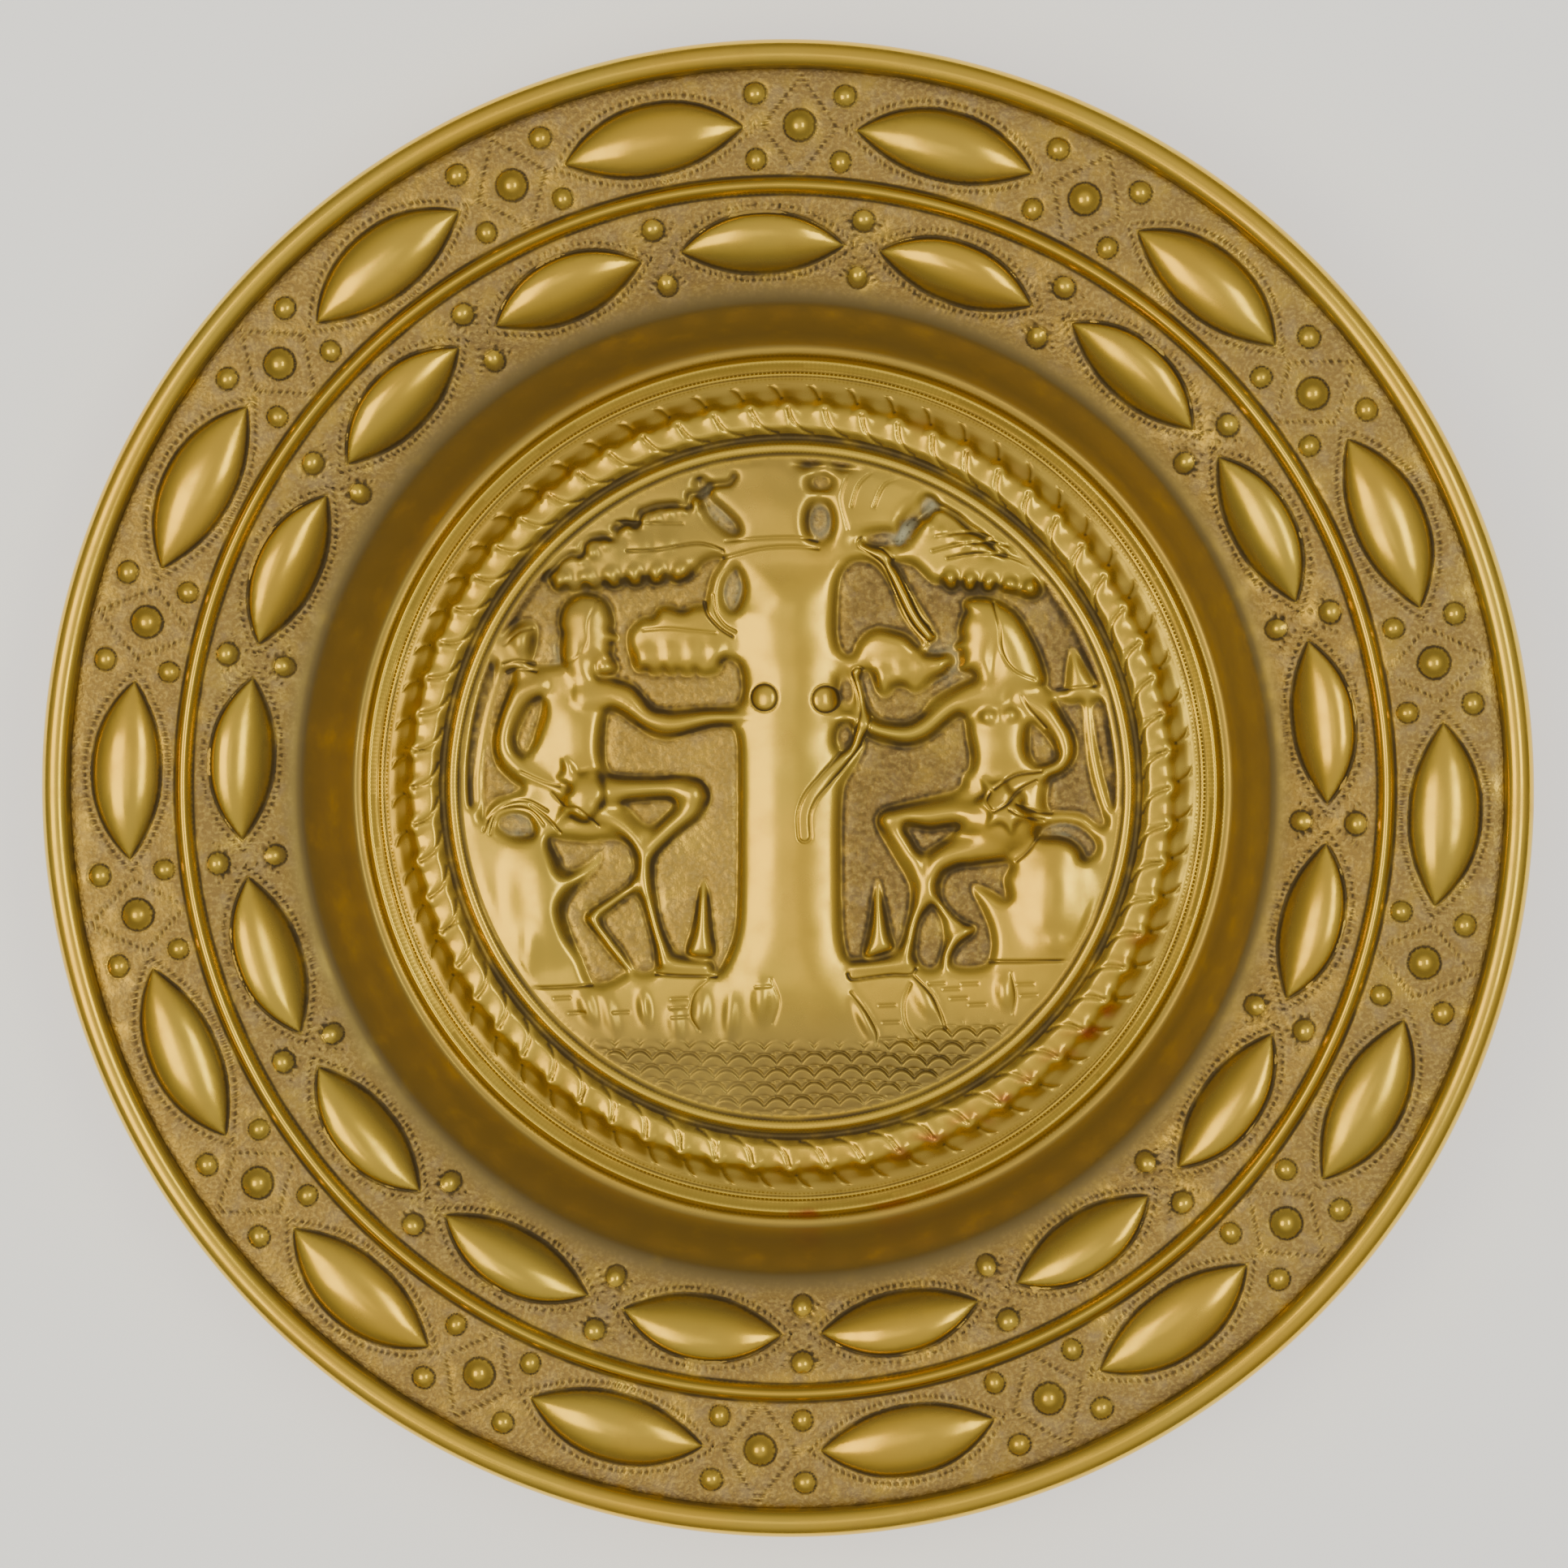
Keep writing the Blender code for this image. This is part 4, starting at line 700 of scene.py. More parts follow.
def picture_forms(field):
    """Height of the pressed forms over the sunk ground, and mm outside them, at each (x, y)."""
    pocket = np.minimum.reduce([patch(field, points) for points in POCKETS.values()]
                               + [(oval(field, *hole) - 1) * min(hole[1]) for hole in FRUIT_HOLES])
    heads = [np.minimum.reduce([patch(field, outline) for outline in outlines])
             for outlines in ((ADAM_HEAD, ADAM_HAIR, ADAM_BEARD), (EVE_HEAD, EVE_HAIR))]
    spikes = [patch(field, outline) for outline in SPIKES]
    solid = np.minimum(-pocket, np.minimum.reduce(heads + spikes))

    def form(signed, rise, edge):
        return rise * cushion(np.maximum(signed, solid), edge)

    upright = ease(*TRUNK_FOOT, field[:, 1]) * (1 - ease(*TRUNK_HEAD, field[:, 1]))
    parts = [form(-FAR, *FIELD), form(patch(field, TRUNK), *TRUNK_FORM) * upright,
             form(limb(field, SERPENT, SERPENT_RADII), *SERPENT_FORM),
             form(limb(field, SASH, SASH_RADII), *SASH_FORM)]
    for path, radii in ADAM_LIMBS + EVE_LIMBS:
        edge = LIMB_EDGE + LIMB_EDGE_PER_WIDTH * float(np.mean(radii))
        parts.append(form(limb(field, path, radii), LIMB_RISE + LIMB_RISE_PER_WIDTH * max(radii), edge))
    parts += [form(head, *HEAD_FORM) for head in heads]
    parts += [form(spike, *SPIKE_FORM) for spike in spikes]
    height = merged(parts, FORM_BLEND)
    shaded = cushion(solid, SWELLING_EDGE)
    for centre, half, turn, rise in SWELLINGS + MUSCLES:
        height += rise * swell(field, centre, half, turn) * shaded
    rounded = cushion(solid, LEAF_END_EDGE)
    for start, end, count, radius, rise in LEAF_ENDS:
        for share in (np.arange(count) + 0.5) / count:
            centre = np.add(start, np.subtract(end, start) * share)
            height += rise * swell(field, centre, (radius, LEAF_END_LENGTH * radius)) * rounded
    for centre, length, width, turn in LEAF_TUFTS:
        height += TUFT_RISE * swell(field, centre, (TUFT_WIDTH * width, TUFT_LENGTH * length), turn)
    rise, edge = LEAF_WORN_FORM
    for outline in LEAVES_WORN:
        height += rise * cushion(patch(field, outline), edge)
    depth, width = LEAF_EDGE_CUT
    for edge in (LEAF_EDGE_LEFT, LEAF_EDGE_RIGHT):
        height -= depth * bell(to_line(field, np.array(edge))[0], width)
    return height, solid


def scales(field):
    """Rows of overlapping scales at the picture's foot, each rounded at its upper rim."""
    x, y = field.T
    top = SCALE_TOP + SCALE_BANK * ease(*SCALE_BANK_PLACE, x)
    down = (SCALE_TOP - y + 0.5 * np.sin(x / 9)) / SCALE_ROW
    row = np.floor(down)
    across = (x / SCALE_WIDTH + 0.5 * (row % 2)) % 1 - 0.5
    under = down - row - SCALE_ARCH * across**2
    rim = np.where(under > 0, under, under + 1)
    worn = 0.65 + 0.35 * waver(field, 12, 8)
    dome = (1 - SCALE_ROUND * across**2) * (1 - rim) * ease(0, 0.3, rim)
    depth, width = SCALE_CUT
    cut = depth * bell(np.minimum(rim, 1 - rim), width)
    return (SCALE_RISE * dome - cut) * ease(0, 3, top - y) * worn


def chased(field, solid):
    """The work done after pressing: scales, fruit, cut lines, short strokes and a groove round each form."""
    depth, width = FORM_FOOT_CUT
    height = scales(field) - depth * bell(solid - FORM_FOOT_OUT, width)
    depth, width = FRUIT_CUT
    for centre in FRUITS:
        gap = np.hypot(*(field - centre).T)
        fruit = FRUIT_RISE * np.clip(1 - (gap / FRUIT_RADIUS) ** 2, 0, 1) ** FRUIT_ROUNDNESS
        height += fruit - depth * bell(gap - FRUIT_RADIUS, width)
    for points, depth in LINES:
        height -= depth * bell(to_line(field, smooth_line(points))[0], LINE_WIDTH)
    for place in DASHES:
        line = np.array([place, (place[0] + DASH_LENGTH, place[1] + DASH_SLOPE)])
        height -= DASH_DEPTH * bell(to_line(field, line)[0], LINE_WIDTH)
    depth, width = OUTLINE_CUT
    for path, edge in ((SERPENT, SERPENT_OUTLINE), (SASH, SASH_OUTLINE)):
        height -= depth * bell(to_line(field, smooth_line(path))[0] - edge, width) * (solid < -OUTLINE_INSET)
    return height


def picture_map():
    """The pressed forms over a square of samples, softened as thick sheet is, and mm outside them."""
    grid = sample_grid(0, PICTURE_RADIUS, PICTURE_STEP)
    height, solid = picture_forms(grid.reshape(-1, 2))
    return [blurred(values.reshape(grid.shape[:2]), reach)
            for values, reach in ((height, FORM_SOFTNESS), (solid, EDGE_SOFTNESS))]


def read_map(values, field):
    """The value of a map of the picture between its samples."""
    spot = (field + PICTURE_RADIUS + EXTRA_ROWS * PICTURE_STEP) / PICTURE_STEP
    spot = np.clip(spot, 0, len(values) - 1.001)
    column, row = spot.astype(int).T
    right, up = spot.T % 1
    lower = values[row, column] * (1 - right) + values[row, column + 1] * right
    upper = values[row + 1, column] * (1 - right) + values[row + 1, column + 1] * right
    return lower * (1 - up) + upper * up


# ---- the turned rings --------------------------------------------------------------------------------
def boss_cell(field, lenses, shift=0.0):
    """Each sample's place in its share of the ring: mm clockwise, mm outwards, and the share's number."""
    ring, *_, count, first = lenses
    radius, angle = turned(field)
    turns = (angle - first) / 360 * count - shift
    which = np.round(turns)
    return (turns - which) * 2 * math.pi * ring / count, radius - ring, which % count


def lens_form(field, lenses):
    """Rise of the band's lens bosses, mm outside the nearest one, and mm along its outline."""
    _, half_length, half_width, rise, *_ = lenses
    x, y, which = boss_cell(field, lenses)
    x = x - STRAY_ALONG * uneven(which, half_length)
    y = y - STRAY_ACROSS * uneven(which, half_width)
    turn = STRAY_TURN * uneven(which, rise)
    x, y = x + turn * y, y - turn * x
    along = x / (half_length * (1 + STRAY_LENGTH * uneven(which, 3.1)))
    taper = 1 - np.abs(along) ** LENS_ROUNDNESS
    half_width = half_width * (1 + STRAY_WIDTH * uneven(which, 5.3))
    across = y / (half_width * np.clip(taper, 1e-6, None))
    outside = (np.abs(y) - half_width * taper) / np.hypot(1, 2 * half_width * along / half_length)
    dome = np.clip(1 - across**2, 0, 1) ** DOME_ACROSS * np.clip(taper, 0, 1) ** DOME_ALONG
    dome *= rise * (1 + STRAY_HEIGHT * uneven(which, 7.7))
    return dome, outside, np.sign(y) * half_length * (along + 0.1 * along**3) + 3 * which


def punched(distance, along):
    """A row of small punched bumps in a shallow channel, at a distance from its line."""
    beat = np.cos(2 * math.pi * along / PUNCH_PITCH + 0.9 * np.sin(along * 0.7))
    return bell(distance, PUNCH_WIDTH) * (PUNCH_RISE * beat - PUNCH_CHANNEL)


def pressed_lenses(field, lenses):
    """A band's lens bosses with the cut line and punched row round each, mm outside them, and how clear of
    those rows a place is, from 0 to 1."""
    dome, outside, along = lens_form(field, lenses)
    depth, width = LENS_LINE
    height = dome + punched(outside - PUNCH_REACH, along) - depth * bell(outside, width)
    return height, outside, ease(-1.5, 1.0, outside - PUNCH_REACH)


def with_bead(height, x, y, size):
    """The height with a round bead added about (0, 0), and the mm outside the bead."""
    radius, rise = size
    gap = np.hypot(x, y)
    bead = rise * np.exp(-((gap / (BEAD_SHARE * radius)) ** BEAD_ROUNDNESS))
    depth, out, width = BEAD_GROOVE
    grooved = height - depth * bell(gap - radius - out, width)
    return np.where(gap < radius, np.maximum(height, bead), grooved), gap - radius


def with_beads(height, outside, cell, places, stray):
    """The height with beads added at places between two lenses, and mm outside lenses and beads alike."""
    x, y, which = cell
    gaps = [outside]
    for number, (across, out, size) in enumerate(places):
        shaken = stray * uneven(which, number), stray * uneven(which, number + 9)
        height, gap = with_bead(height, x - across - shaken[0], y - out - shaken[1], size)
        gaps.append(gap)
    return height, np.minimum.reduce(gaps)


def outer_bosses(field):
    """The outer band: lens bosses, and between each two a punched lozenge with five beads."""
    height, outside, clear = pressed_lenses(field, OUTER_LENSES)
    cell = boss_cell(field, OUTER_LENSES, 0.5)
    x, y, which = cell
    wide, tall = LOZENGE
    to_lozenge = (np.abs(x) / wide + np.abs(y) / tall - 1) / math.hypot(1 / wide, 1 / tall)
    height += punched(to_lozenge, y * math.hypot(1, wide / tall) + which) * clear
    step = math.radians(OUTER_BEAD_STEP) * OUTER_LENSES[0]
    places = [(0, 0, LARGE_BEAD)] + [(across, out, SMALL_BEAD) for across in (-step, step)
                                     for out in (-OUTER_BEAD_SPREAD, OUTER_BEAD_SPREAD)]
    return with_beads(height, outside, cell, places, OUTER_BEAD_STRAY)


def inner_bosses(field):
    """The inner band: lens bosses, and between each two a punched cross with a bead on either side of it."""
    height, outside, clear = pressed_lenses(field, INNER_LENSES)
    cell = boss_cell(field, INNER_LENSES, 0.5)
    x, y, _ = cell
    wide, tall = SALTIRE
    to_cross = np.abs(np.abs(x) * tall - np.abs(y) * wide) / math.hypot(wide, tall)
    from_crossing = np.hypot(x, y)
    fade = ease(1.5, 3.0, from_crossing) * ease(tall, tall - 1, np.abs(y))
    height += SALTIRE_SHARE * punched(to_cross, from_crossing - 0.9) * fade * clear
    places = [(0, out, SMALL_BEAD) for out in (-INNER_BEAD_SPREAD, INNER_BEAD_SPREAD)]
    return with_beads(height, outside, cell, places, INNER_BEAD_STRAY)


def wreath(field):
    """Running leaves between the picture's edge and the foot: each has a hooked tip and a chased back."""
    radius, angle = turned(field)
    arc = math.radians(360 / WREATH_LEAVES) * WREATH_RADIUS
    share = angle / 360 * WREATH_LEAVES
    which = np.floor(share)
    across = share - which
    lift = 0.85 + 0.15 * uneven(which % WREATH_LEAVES, 2.2)
    tip = LEAF_TIP + LEAF_TIP_WAVE * np.cos(2 * math.pi * (across + 0.04))
    before_tip = 1 - ease(-LEAF_TIP_EDGE, LEAF_TIP_EDGE, radius - tip)
    height = WREATH_RISE * lift * before_tip * ease(*WREATH_START, radius)
    place = np.stack([across * arc, radius], axis=1)
    back = smooth_line(LEAF_BACK)
    for step in (-arc, 0, arc):
        gap, run = to_line(place, back + (step, 0))
        height -= LEAF_CUT[0] * bell(gap, LEAF_CUT[1]) * (1 - 0.5 * run)
        rise, out, width = LEAF_RIDGE
        height += rise * bell(gap - out, width) * (1 - run)
        x, y = place[:, 0] - step + KNOB_BACK, radius - KNOB_RADIUS
        height += KNOB_RISE * lift * bell(np.hypot(x * 0.62 + y * 0.22, y * 0.42), KNOB_WIDTH)
        x, y = (x - DIP_AHEAD) / DIP_HALF[0], (radius - DIP_RADIUS) / DIP_HALF[1]
        height -= DIP_DEPTH * bell(np.hypot(x, y), 1.0)
    outer = smooth_line([(arc - short, out) for short, out in LEAF_OUTER])
    return height - LEAF_OUTER_CUT[0] * bell(to_line(place, outer)[0], LEAF_OUTER_CUT[1])


def sheet_height(field):
    """Height of the face between the picture and the rolled edge, and how much of it is matted ground."""
    radius, angle = turned(field)
    height = through(PROFILE, radius)
    outside = np.full(radius.shape, FAR)
    for low, high, bosses in ((BEAD_OUTER, ROLL_ENTRY, outer_bosses), (SHOULDER, BEAD_INNER, inner_bosses)):
        band = (radius >= low) & (radius <= high)
        rise, gap = bosses(field[band])
        fade = ease(0, BAND_END, radius[band] - low), ease(0, BAND_END, high - radius[band])
        height[band] += rise * fade[0] * fade[1]
        outside[band] = gap
    inner = radius < WREATH_EDGE
    height[inner] += wreath(field[inner])
    strokes = bell(radius - STROKES_RADIUS, STROKES_WIDTH) * np.cos(math.radians(1) * angle * STROKES)
    strokes *= ease(-0.4, 0.6, waver(field, 60, 2))
    height += STROKES_RISE * strokes
    worked = ease(PICTURE_RADIUS, PICTURE_RADIUS + 3, radius) * ease(0, 3, ROLL_ENTRY - radius)
    ground = ease(-0.5, 0.8, outside) * ease(SHOULDER - 1, SHOULDER + 6, radius)
    ground *= ease(*BEAD_SIDES, np.abs(radius - BEAD_RIDGE))
    height += worked * (BAND_WAVER * waver(field, 9, 1) + BAND_GRAIN * ground * grain(field, 1.9, 3))
    return height, ground


def picture_surface(soft, solid):
    """The picture's face, from the maps of its soft forms."""
    def surface(field):
        outside = read_map(solid, field)
        ground = ease(-0.4, 1.0, outside)
        height = PICTURE_GROUND + read_map(soft, field) + chased(field, outside)
        height += PICTURE_WAVER * waver(field, 4, 3) + PICTURE_GRAIN * ground * grain(field, 1.2, 5)
        edge = ease(PICTURE_RADIUS - PICTURE_EDGE, PICTURE_RADIUS, np.hypot(*field.T))
        return height * (1 - edge) + PROFILE[0][1] * edge, ground * (0.7 + 0.3 * ease(-20, 30, field[:, 0]))
    return surface


def back_of(surface):
    """The back of a face: one sheet behind it, measured square to it."""
    def back(field):
        level, ground = surface(field)
        slope = [(surface(field + step)[0] - surface(field - step)[0]) / 2 for step in ((1, 0), (0, 1))]
        return np.maximum(level - SHEET * np.hypot(1, np.hypot(*slope)), 0), ground
    return back


# ---- sheet metal from a height -----------------------------------------------------------------------
def blurred(values, reach):
    """Values averaged over a square that reaches so many samples each way, twice along each axis."""
    for axis in (0, 1):
        for _ in range(2):
            values = sum(np.roll(values, k, axis) for k in range(-reach, reach + 1)) / (2 * reach + 1)
    return values


def spread(chosen, reach):
    """The chosen samples and those within reach of one, along rows and columns."""
    for axis in (0, 1):
        chosen = np.logical_or.reduce([np.roll(chosen, k, axis) for k in range(-reach, reach + 1)])
    return chosen


def misses(height, stride, axis):
    """How far a straight line over two strides misses the height at its middle."""
    return np.abs(np.roll(height, stride, axis) + np.roll(height, -stride, axis) - 2 * height) / 2


def kept(height, within, budget, thin):
    """Which samples the relief needs: all where it turns sharply both ways, every few of them along a line or
    a ridge that follows the rows, and fewer still where it is smooth."""
    down, across = misses(height, 1, 0), misses(height, 1, 1)
    bent = np.maximum(misses(height, 2, 0), misses(height, 2, 1))
    limit = FINEST_MISS
    while True:
        keep = spread((down > limit) & (across > limit), 1)
        keep[:, ::thin] |= spread(down > limit, 1)[:, ::thin]
        keep[::thin] |= spread(across > limit, 1)[::thin]
        keep[::2, ::2] |= spread(bent > 1.5 * limit, 2)[::2, ::2]
        keep[::4, ::4] = True
        keep &= within
        if keep.sum() <= budget:
            return keep
        limit *= MISS_GROWTH


def ring_points(radius):
    """Points round a circle, clockwise from the top of the picture."""
    return np.array([polar(radius, 360 * k / RING_STEPS) for k in range(RING_STEPS)])


def triangles(points, loops):
    """Anticlockwise triangles over points whose first ones are closed loops of RING_STEPS."""
    edges = [(first + k, first + (k + 1) % RING_STEPS) for first in loops for k in range(RING_STEPS)]
    _, _, faces, origin, *_ = delaunay_2d_cdt([Vector(p) for p in points], edges, [], 0, 1e-6)
    source = np.array([found[0] for found in origin])
    faces = source[np.array([tuple(face) for face in faces])]
    first, second, third = (points[faces[:, k]] for k in range(3))
    turn = np.cross(second - first, third - first)
    faces[turn < 0] = faces[turn < 0][:, ::-1]
    inside_hole = (faces < RING_STEPS).all(1) if len(loops) > 1 else np.zeros(len(faces), bool)
    return faces[(np.abs(turn) > 1e-7) & ~inside_hole]


def sample_grid(inner, outer, step):
    """Samples over a disc or a ring and a little beyond it, in rows that follow it."""
    beyond = EXTRA_ROWS * step
    if inner:
        radius = np.arange(inner - beyond, outer + beyond, step)[:, None]
        columns = 4 * round(math.pi * (inner + outer) / step / 4)
        turn = 2 * math.pi * np.arange(columns) / columns
        return np.stack([radius * np.sin(turn), radius * np.cos(turn)], axis=-1)
    steps = np.arange(-outer - beyond, outer + beyond, step)
    return np.stack(np.meshgrid(steps, steps), axis=-1)


def below_surroundings(points, surface):
    """How far each point lies below the average height around it."""
    around = [surface(points + polar(HOLLOW_REACH * 1.4, turn))[0] for turn in range(0, 360, 45)]
    return np.mean(around, axis=0) - surface(points)[0]


def face_points(inner, outer, step, surface, budget):
    """The points of one face of a piece, its triangles, and each point's height, ground, hollow and slope."""
    grid = sample_grid(inner, outer, step)
    flat = grid.reshape(-1, 2)
    radius = np.hypot(*flat.T)
    wanted = (radius < outer + EXTRA_ROWS * step) & (radius > inner - EXTRA_ROWS * step)
    level, ground = np.zeros(len(flat)), np.zeros(len(flat))
    level[wanted], ground[wanted] = surface(flat[wanted])
    height = level.reshape(grid.shape[:2])
    within = (radius < outer - 0.6 * step) & (radius > inner + 0.6 * step * bool(inner))
    keep = kept(height, within.reshape(height.shape), budget, 4 if inner else 2).ravel()
    slope = np.hypot(*np.gradient(height, step)).ravel()
    around = blurred(height, max(1, round(HOLLOW_REACH / step)))
    # how far below its surroundings a point lies, with steep places added as painted shade
    hollow = (around - height).ravel() + STEEP_PAINTED_SHADE * ease(0.5, 1.1, slope)
    loops = [ring_points(edge) for edge in (inner, outer) if edge]
    rim = np.concatenate(loops)
    rim_level, rim_ground = surface(rim)
    points = np.concatenate([rim, flat[keep]])
    return (points, triangles(points, [RING_STEPS * k for k in range(len(loops))]),
            np.r_[rim_level, level[keep]], np.r_[rim_ground, ground[keep]],
            np.r_[below_surroundings(rim, surface), hollow[keep]], np.r_[0 * rim_level, slope[keep]])


def walls(top, bottom, has_hole):
    """Faces from loops of corners along the face's edges, which start at top, to those along the back's."""
    faces = []
    loops = (0, RING_STEPS) if has_hole else (0,)
    for first in loops:
        for k in range(RING_STEPS):
            here, ahead = first + k, first + (k + 1) % RING_STEPS
            wall = [top + here, top + ahead, bottom + ahead, bottom + here]
            faces.append(wall[::-1] if has_hole and first == 0 else wall)
    return faces


# ---- wear: 0 to 1 at each point of a face ------------------------------------------------------------
def picture_foot(field):
    """0 above the picture's foot and outside the picture, and 1 well down in it."""
    return ease(*FOOT_OF_PICTURE, field[:, 1]) * (np.hypot(*field.T) < PICTURE_RADIUS)


def copper(field):
    """Where copper shows red through the brass: in the wreath's lower right and along the foot below it."""
    radius, angle = turned(field)
    patchy = ease(-0.1, 0.7, waver(field, 2.6, 7)) * ease(-0.3, 0.5, waver(field, 11, 5))
    lower_right = ease(85, 120, angle) * (1 - ease(172, 180, angle))
    wreath_dips = bell(radius - COPPER_RADIUS, COPPER_WIDTH) * (COPPER_ALL_ROUND + lower_right)
    foot = bell(radius - COPPER_FOOT_RADIUS, COPPER_FOOT_WIDTH) * ease(130, 150, angle)
    return patchy * np.clip(wreath_dips + foot, 0, 1)


def polish(field, level):
    """Where pale polish is left, deep in the picture."""
    deep = 1 - ease(*POLISH_LEVEL, level)
    left = np.maximum.reduce([bell(oval(field, centre, (size, size)), 1) * deep for centre, size in RESIDUE])
    return left * (np.hypot(*field.T) < PICTURE_RADIUS)


def olive_patina_and_shade(field, slope):
    """How much the brass turns olive: patina and painted shade on the well's wall, the picture's foot and the
    wreath's outer edge, painted shade on the picture's upper left and whatever is steep, but not the bead
    between the bands."""
    x, y = field.T
    radius = np.hypot(x, y)
    # olive patina and painted shade on the well's wall and its shoulder
    wall = (0.55 * ease(113, 117, radius) + 0.45 * ease(118, 123, radius)) * ease(140, 134, radius)
    # painted shade on the picture's upper left
    upper_left = ease(50, 90, y - 0.6 * x) * (radius < PICTURE_RADIUS)
    patina_and_shade = np.maximum.reduce([wall, FOOT_PATINA_AND_SHADE * picture_foot(field), UPPER_LEFT_PAINTED_SHADE * upper_left])
    patina_and_shade = np.maximum(patina_and_shade, WREATH_EDGE_PATINA_AND_SHADE * ease(103, 106, radius) * ease(112, 109, radius))
    # painted shade on steep slopes
    patina_and_shade = np.maximum(patina_and_shade, STEEP_OLIVE_SHADE * ease(0.4, 1.1, slope))
    return patina_and_shade * (1 - BEAD_BRIGHT * bell(np.abs(radius - BEAD_RIDGE), BEAD_BRIGHT_WIDTH))


def grime_and_shade_amount(field, hollow, ground):
    """How much grime and painted shade each point gets from lying low and from steepness: less on the well's
    wall, the bead and the picture's foot, and more along the bead's foot, on the picture's border and in its
    pockets."""
    radius = np.hypot(*field.T)
    hollow = hollow * (1 - WELL_LESS_GRIME_AND_SHADE * ease(115, 118, radius) * ease(137, 134, radius))
    from_ridge = np.abs(radius - BEAD_RIDGE)
    hollow *= 1 - BEAD_LESS_GRIME_AND_SHADE * bell(from_ridge, BEAD_BRIGHT_WIDTH)
    # a line of grime and painted shade along the bead's foot, and two round the picture's border
    amount, out, width = BEAD_FOOT_GRIME_AND_SHADE
    hollow += amount * bell(from_ridge - out, width)
    hollow += sum(amount * bell(radius - ring, width) for amount, ring, width in BORDER_GRIME_AND_SHADE)
    # grime and painted shade on the ground of the pockets, left off their middle part
    undarkened_oval = oval(field, *UNDARKENED_POCKETS)
    hollow += POCKET_GRIME_AND_SHADE * ground * ease(0.6, 1.3, undarkened_oval) * (radius < PICTURE_RADIUS)
    return hollow * (1 - FOOT_LESS_GRIME_AND_SHADE * picture_foot(field))


# ---- pieces of the dish ------------------------------------------------------------------------------
def add_mesh(name, corners, faces, marks):
    """A smooth object from corners in millimetres, with its marks kept for the material."""
    mesh = bpy.data.meshes.new(name)
    mesh.from_pydata(corners * MM, [], faces)
    for mark, values in marks.items():
        mesh.attributes.new(mark, "FLOAT", "POINT").data.foreach_set("value", values.astype(np.float32))
    mesh.polygons.foreach_set("use_smooth", np.ones(len(faces), bool))
    piece = bpy.data.objects.new(name, mesh)
    bpy.context.scene.collection.objects.link(piece)
    return piece


def sheet_piece(name, inner, outer, step, surface, budget):
    """A closed piece of sheet between two radii: its face, its back and the walls between them.

    The walls have corners of their own in the same places, so the smooth face isn't shaded as if it turned
    down at its edge, and one piece runs on into the next.
    """
    face, face_triangles, face_level, ground, hollow, slope = face_points(inner, outer, step, surface, budget)
    back, back_triangles, back_level, *_ = face_points(inner, outer, BACK_STEP, back_of(surface), BACK_BUDGET)
    rims = RING_STEPS * (2 if inner else 1)
    sheets = np.concatenate([np.c_[face, face_level], np.c_[back, back_level]])
    corners = np.concatenate([sheets, sheets[:rims], sheets[len(face):len(face) + rims]])
    faces = face_triangles.tolist() + (len(face) + back_triangles[:, ::-1]).tolist()
    faces += walls(len(sheets), len(sheets) + rims, bool(inner))
    # the hollow mark carries grime and painted shade, and the olive mark patina and painted shade
    worn = {"ground": ground, "hollow": grime_and_shade_amount(face, hollow, ground), "stain": copper(face),
            "residue": polish(face, face_level), "patina_and_shade": olive_patina_and_shade(face, slope)}
    unseen = len(corners) - len(face)
    marks = {mark: np.r_[worn[mark], np.full(unseen, UNSEEN_MARKS[mark])] for mark in MARKS}
    print(name, "face", len(face_triangles), "back", len(back_triangles), "triangles")
    return add_mesh(name, corners, faces, marks)


def rolled_edge():
    """The sheet's edge turned over and back under into a hollow roll, open along its seam."""
    def arc(radius, start, end, steps):
        turns = np.radians(np.linspace(start, end, steps))
        middle, level = RIM_RADIUS - ROLL_RADIUS, ROLL_CREST - ROLL_RADIUS
        return [(middle + radius * math.cos(turn), level + radius * math.sin(turn)) for turn in turns]

    entry = PROFILE[-1][1]
    seam = [(ROLL_ENTRY, entry), (ROLL_ENTRY, entry - SHEET)]
    section = seam[:1] + arc(ROLL_RADIUS, *ROLL_OUTSIDE) + arc(ROLL_RADIUS - SHEET, *ROLL_INSIDE)
    # the wall where the brim runs in has corners of its own
    section += seam[1:] + seam[::-1]
    ring = ring_points(1)
    corners = np.concatenate([np.c_[ring * radius, np.full(RING_STEPS, height)]
                              for radius, height in section])
    shaken = slice(RING_STEPS, -3 * RING_STEPS)
    corners[shaken, 2] += ROLL_WAVER * waver(corners[shaken, :2], 14, 6)
    faces = []
    for row in [*range(len(section) - 3), len(section) - 2]:
        here, ahead = row * RING_STEPS, (row + 1) * RING_STEPS
        for k in range(RING_STEPS):
            after = (k + 1) % RING_STEPS
            faces.append((here + k, here + after, ahead + after, ahead + k))
    marks = {mark: np.zeros(len(corners)) for mark in MARKS}
    # grime and painted shade in the groove where the brim runs in
    marks["hollow"] = ROLL_GROOVE_GRIME_AND_SHADE * ease(1.6, 0.3, np.hypot(*corners[:, :2].T) - ROLL_ENTRY)
    return add_mesh("rolled_edge", corners, faces, marks)


# ---- finishes ----------------------------------------------------------------------------------------
def mask(tree, value, low, high, top=1.0):
    """0 where the value is low, up to top where it is high."""
    node = tree.nodes.new("ShaderNodeMapRange")
    node.interpolation_type = "SMOOTHSTEP"
    for name, number in (("From Min", low), ("From Max", high), ("To Max", top)):
        node.inputs[name].default_value = number
    tree.links.new(value, node.inputs["Value"])
    return node.outputs["Result"]


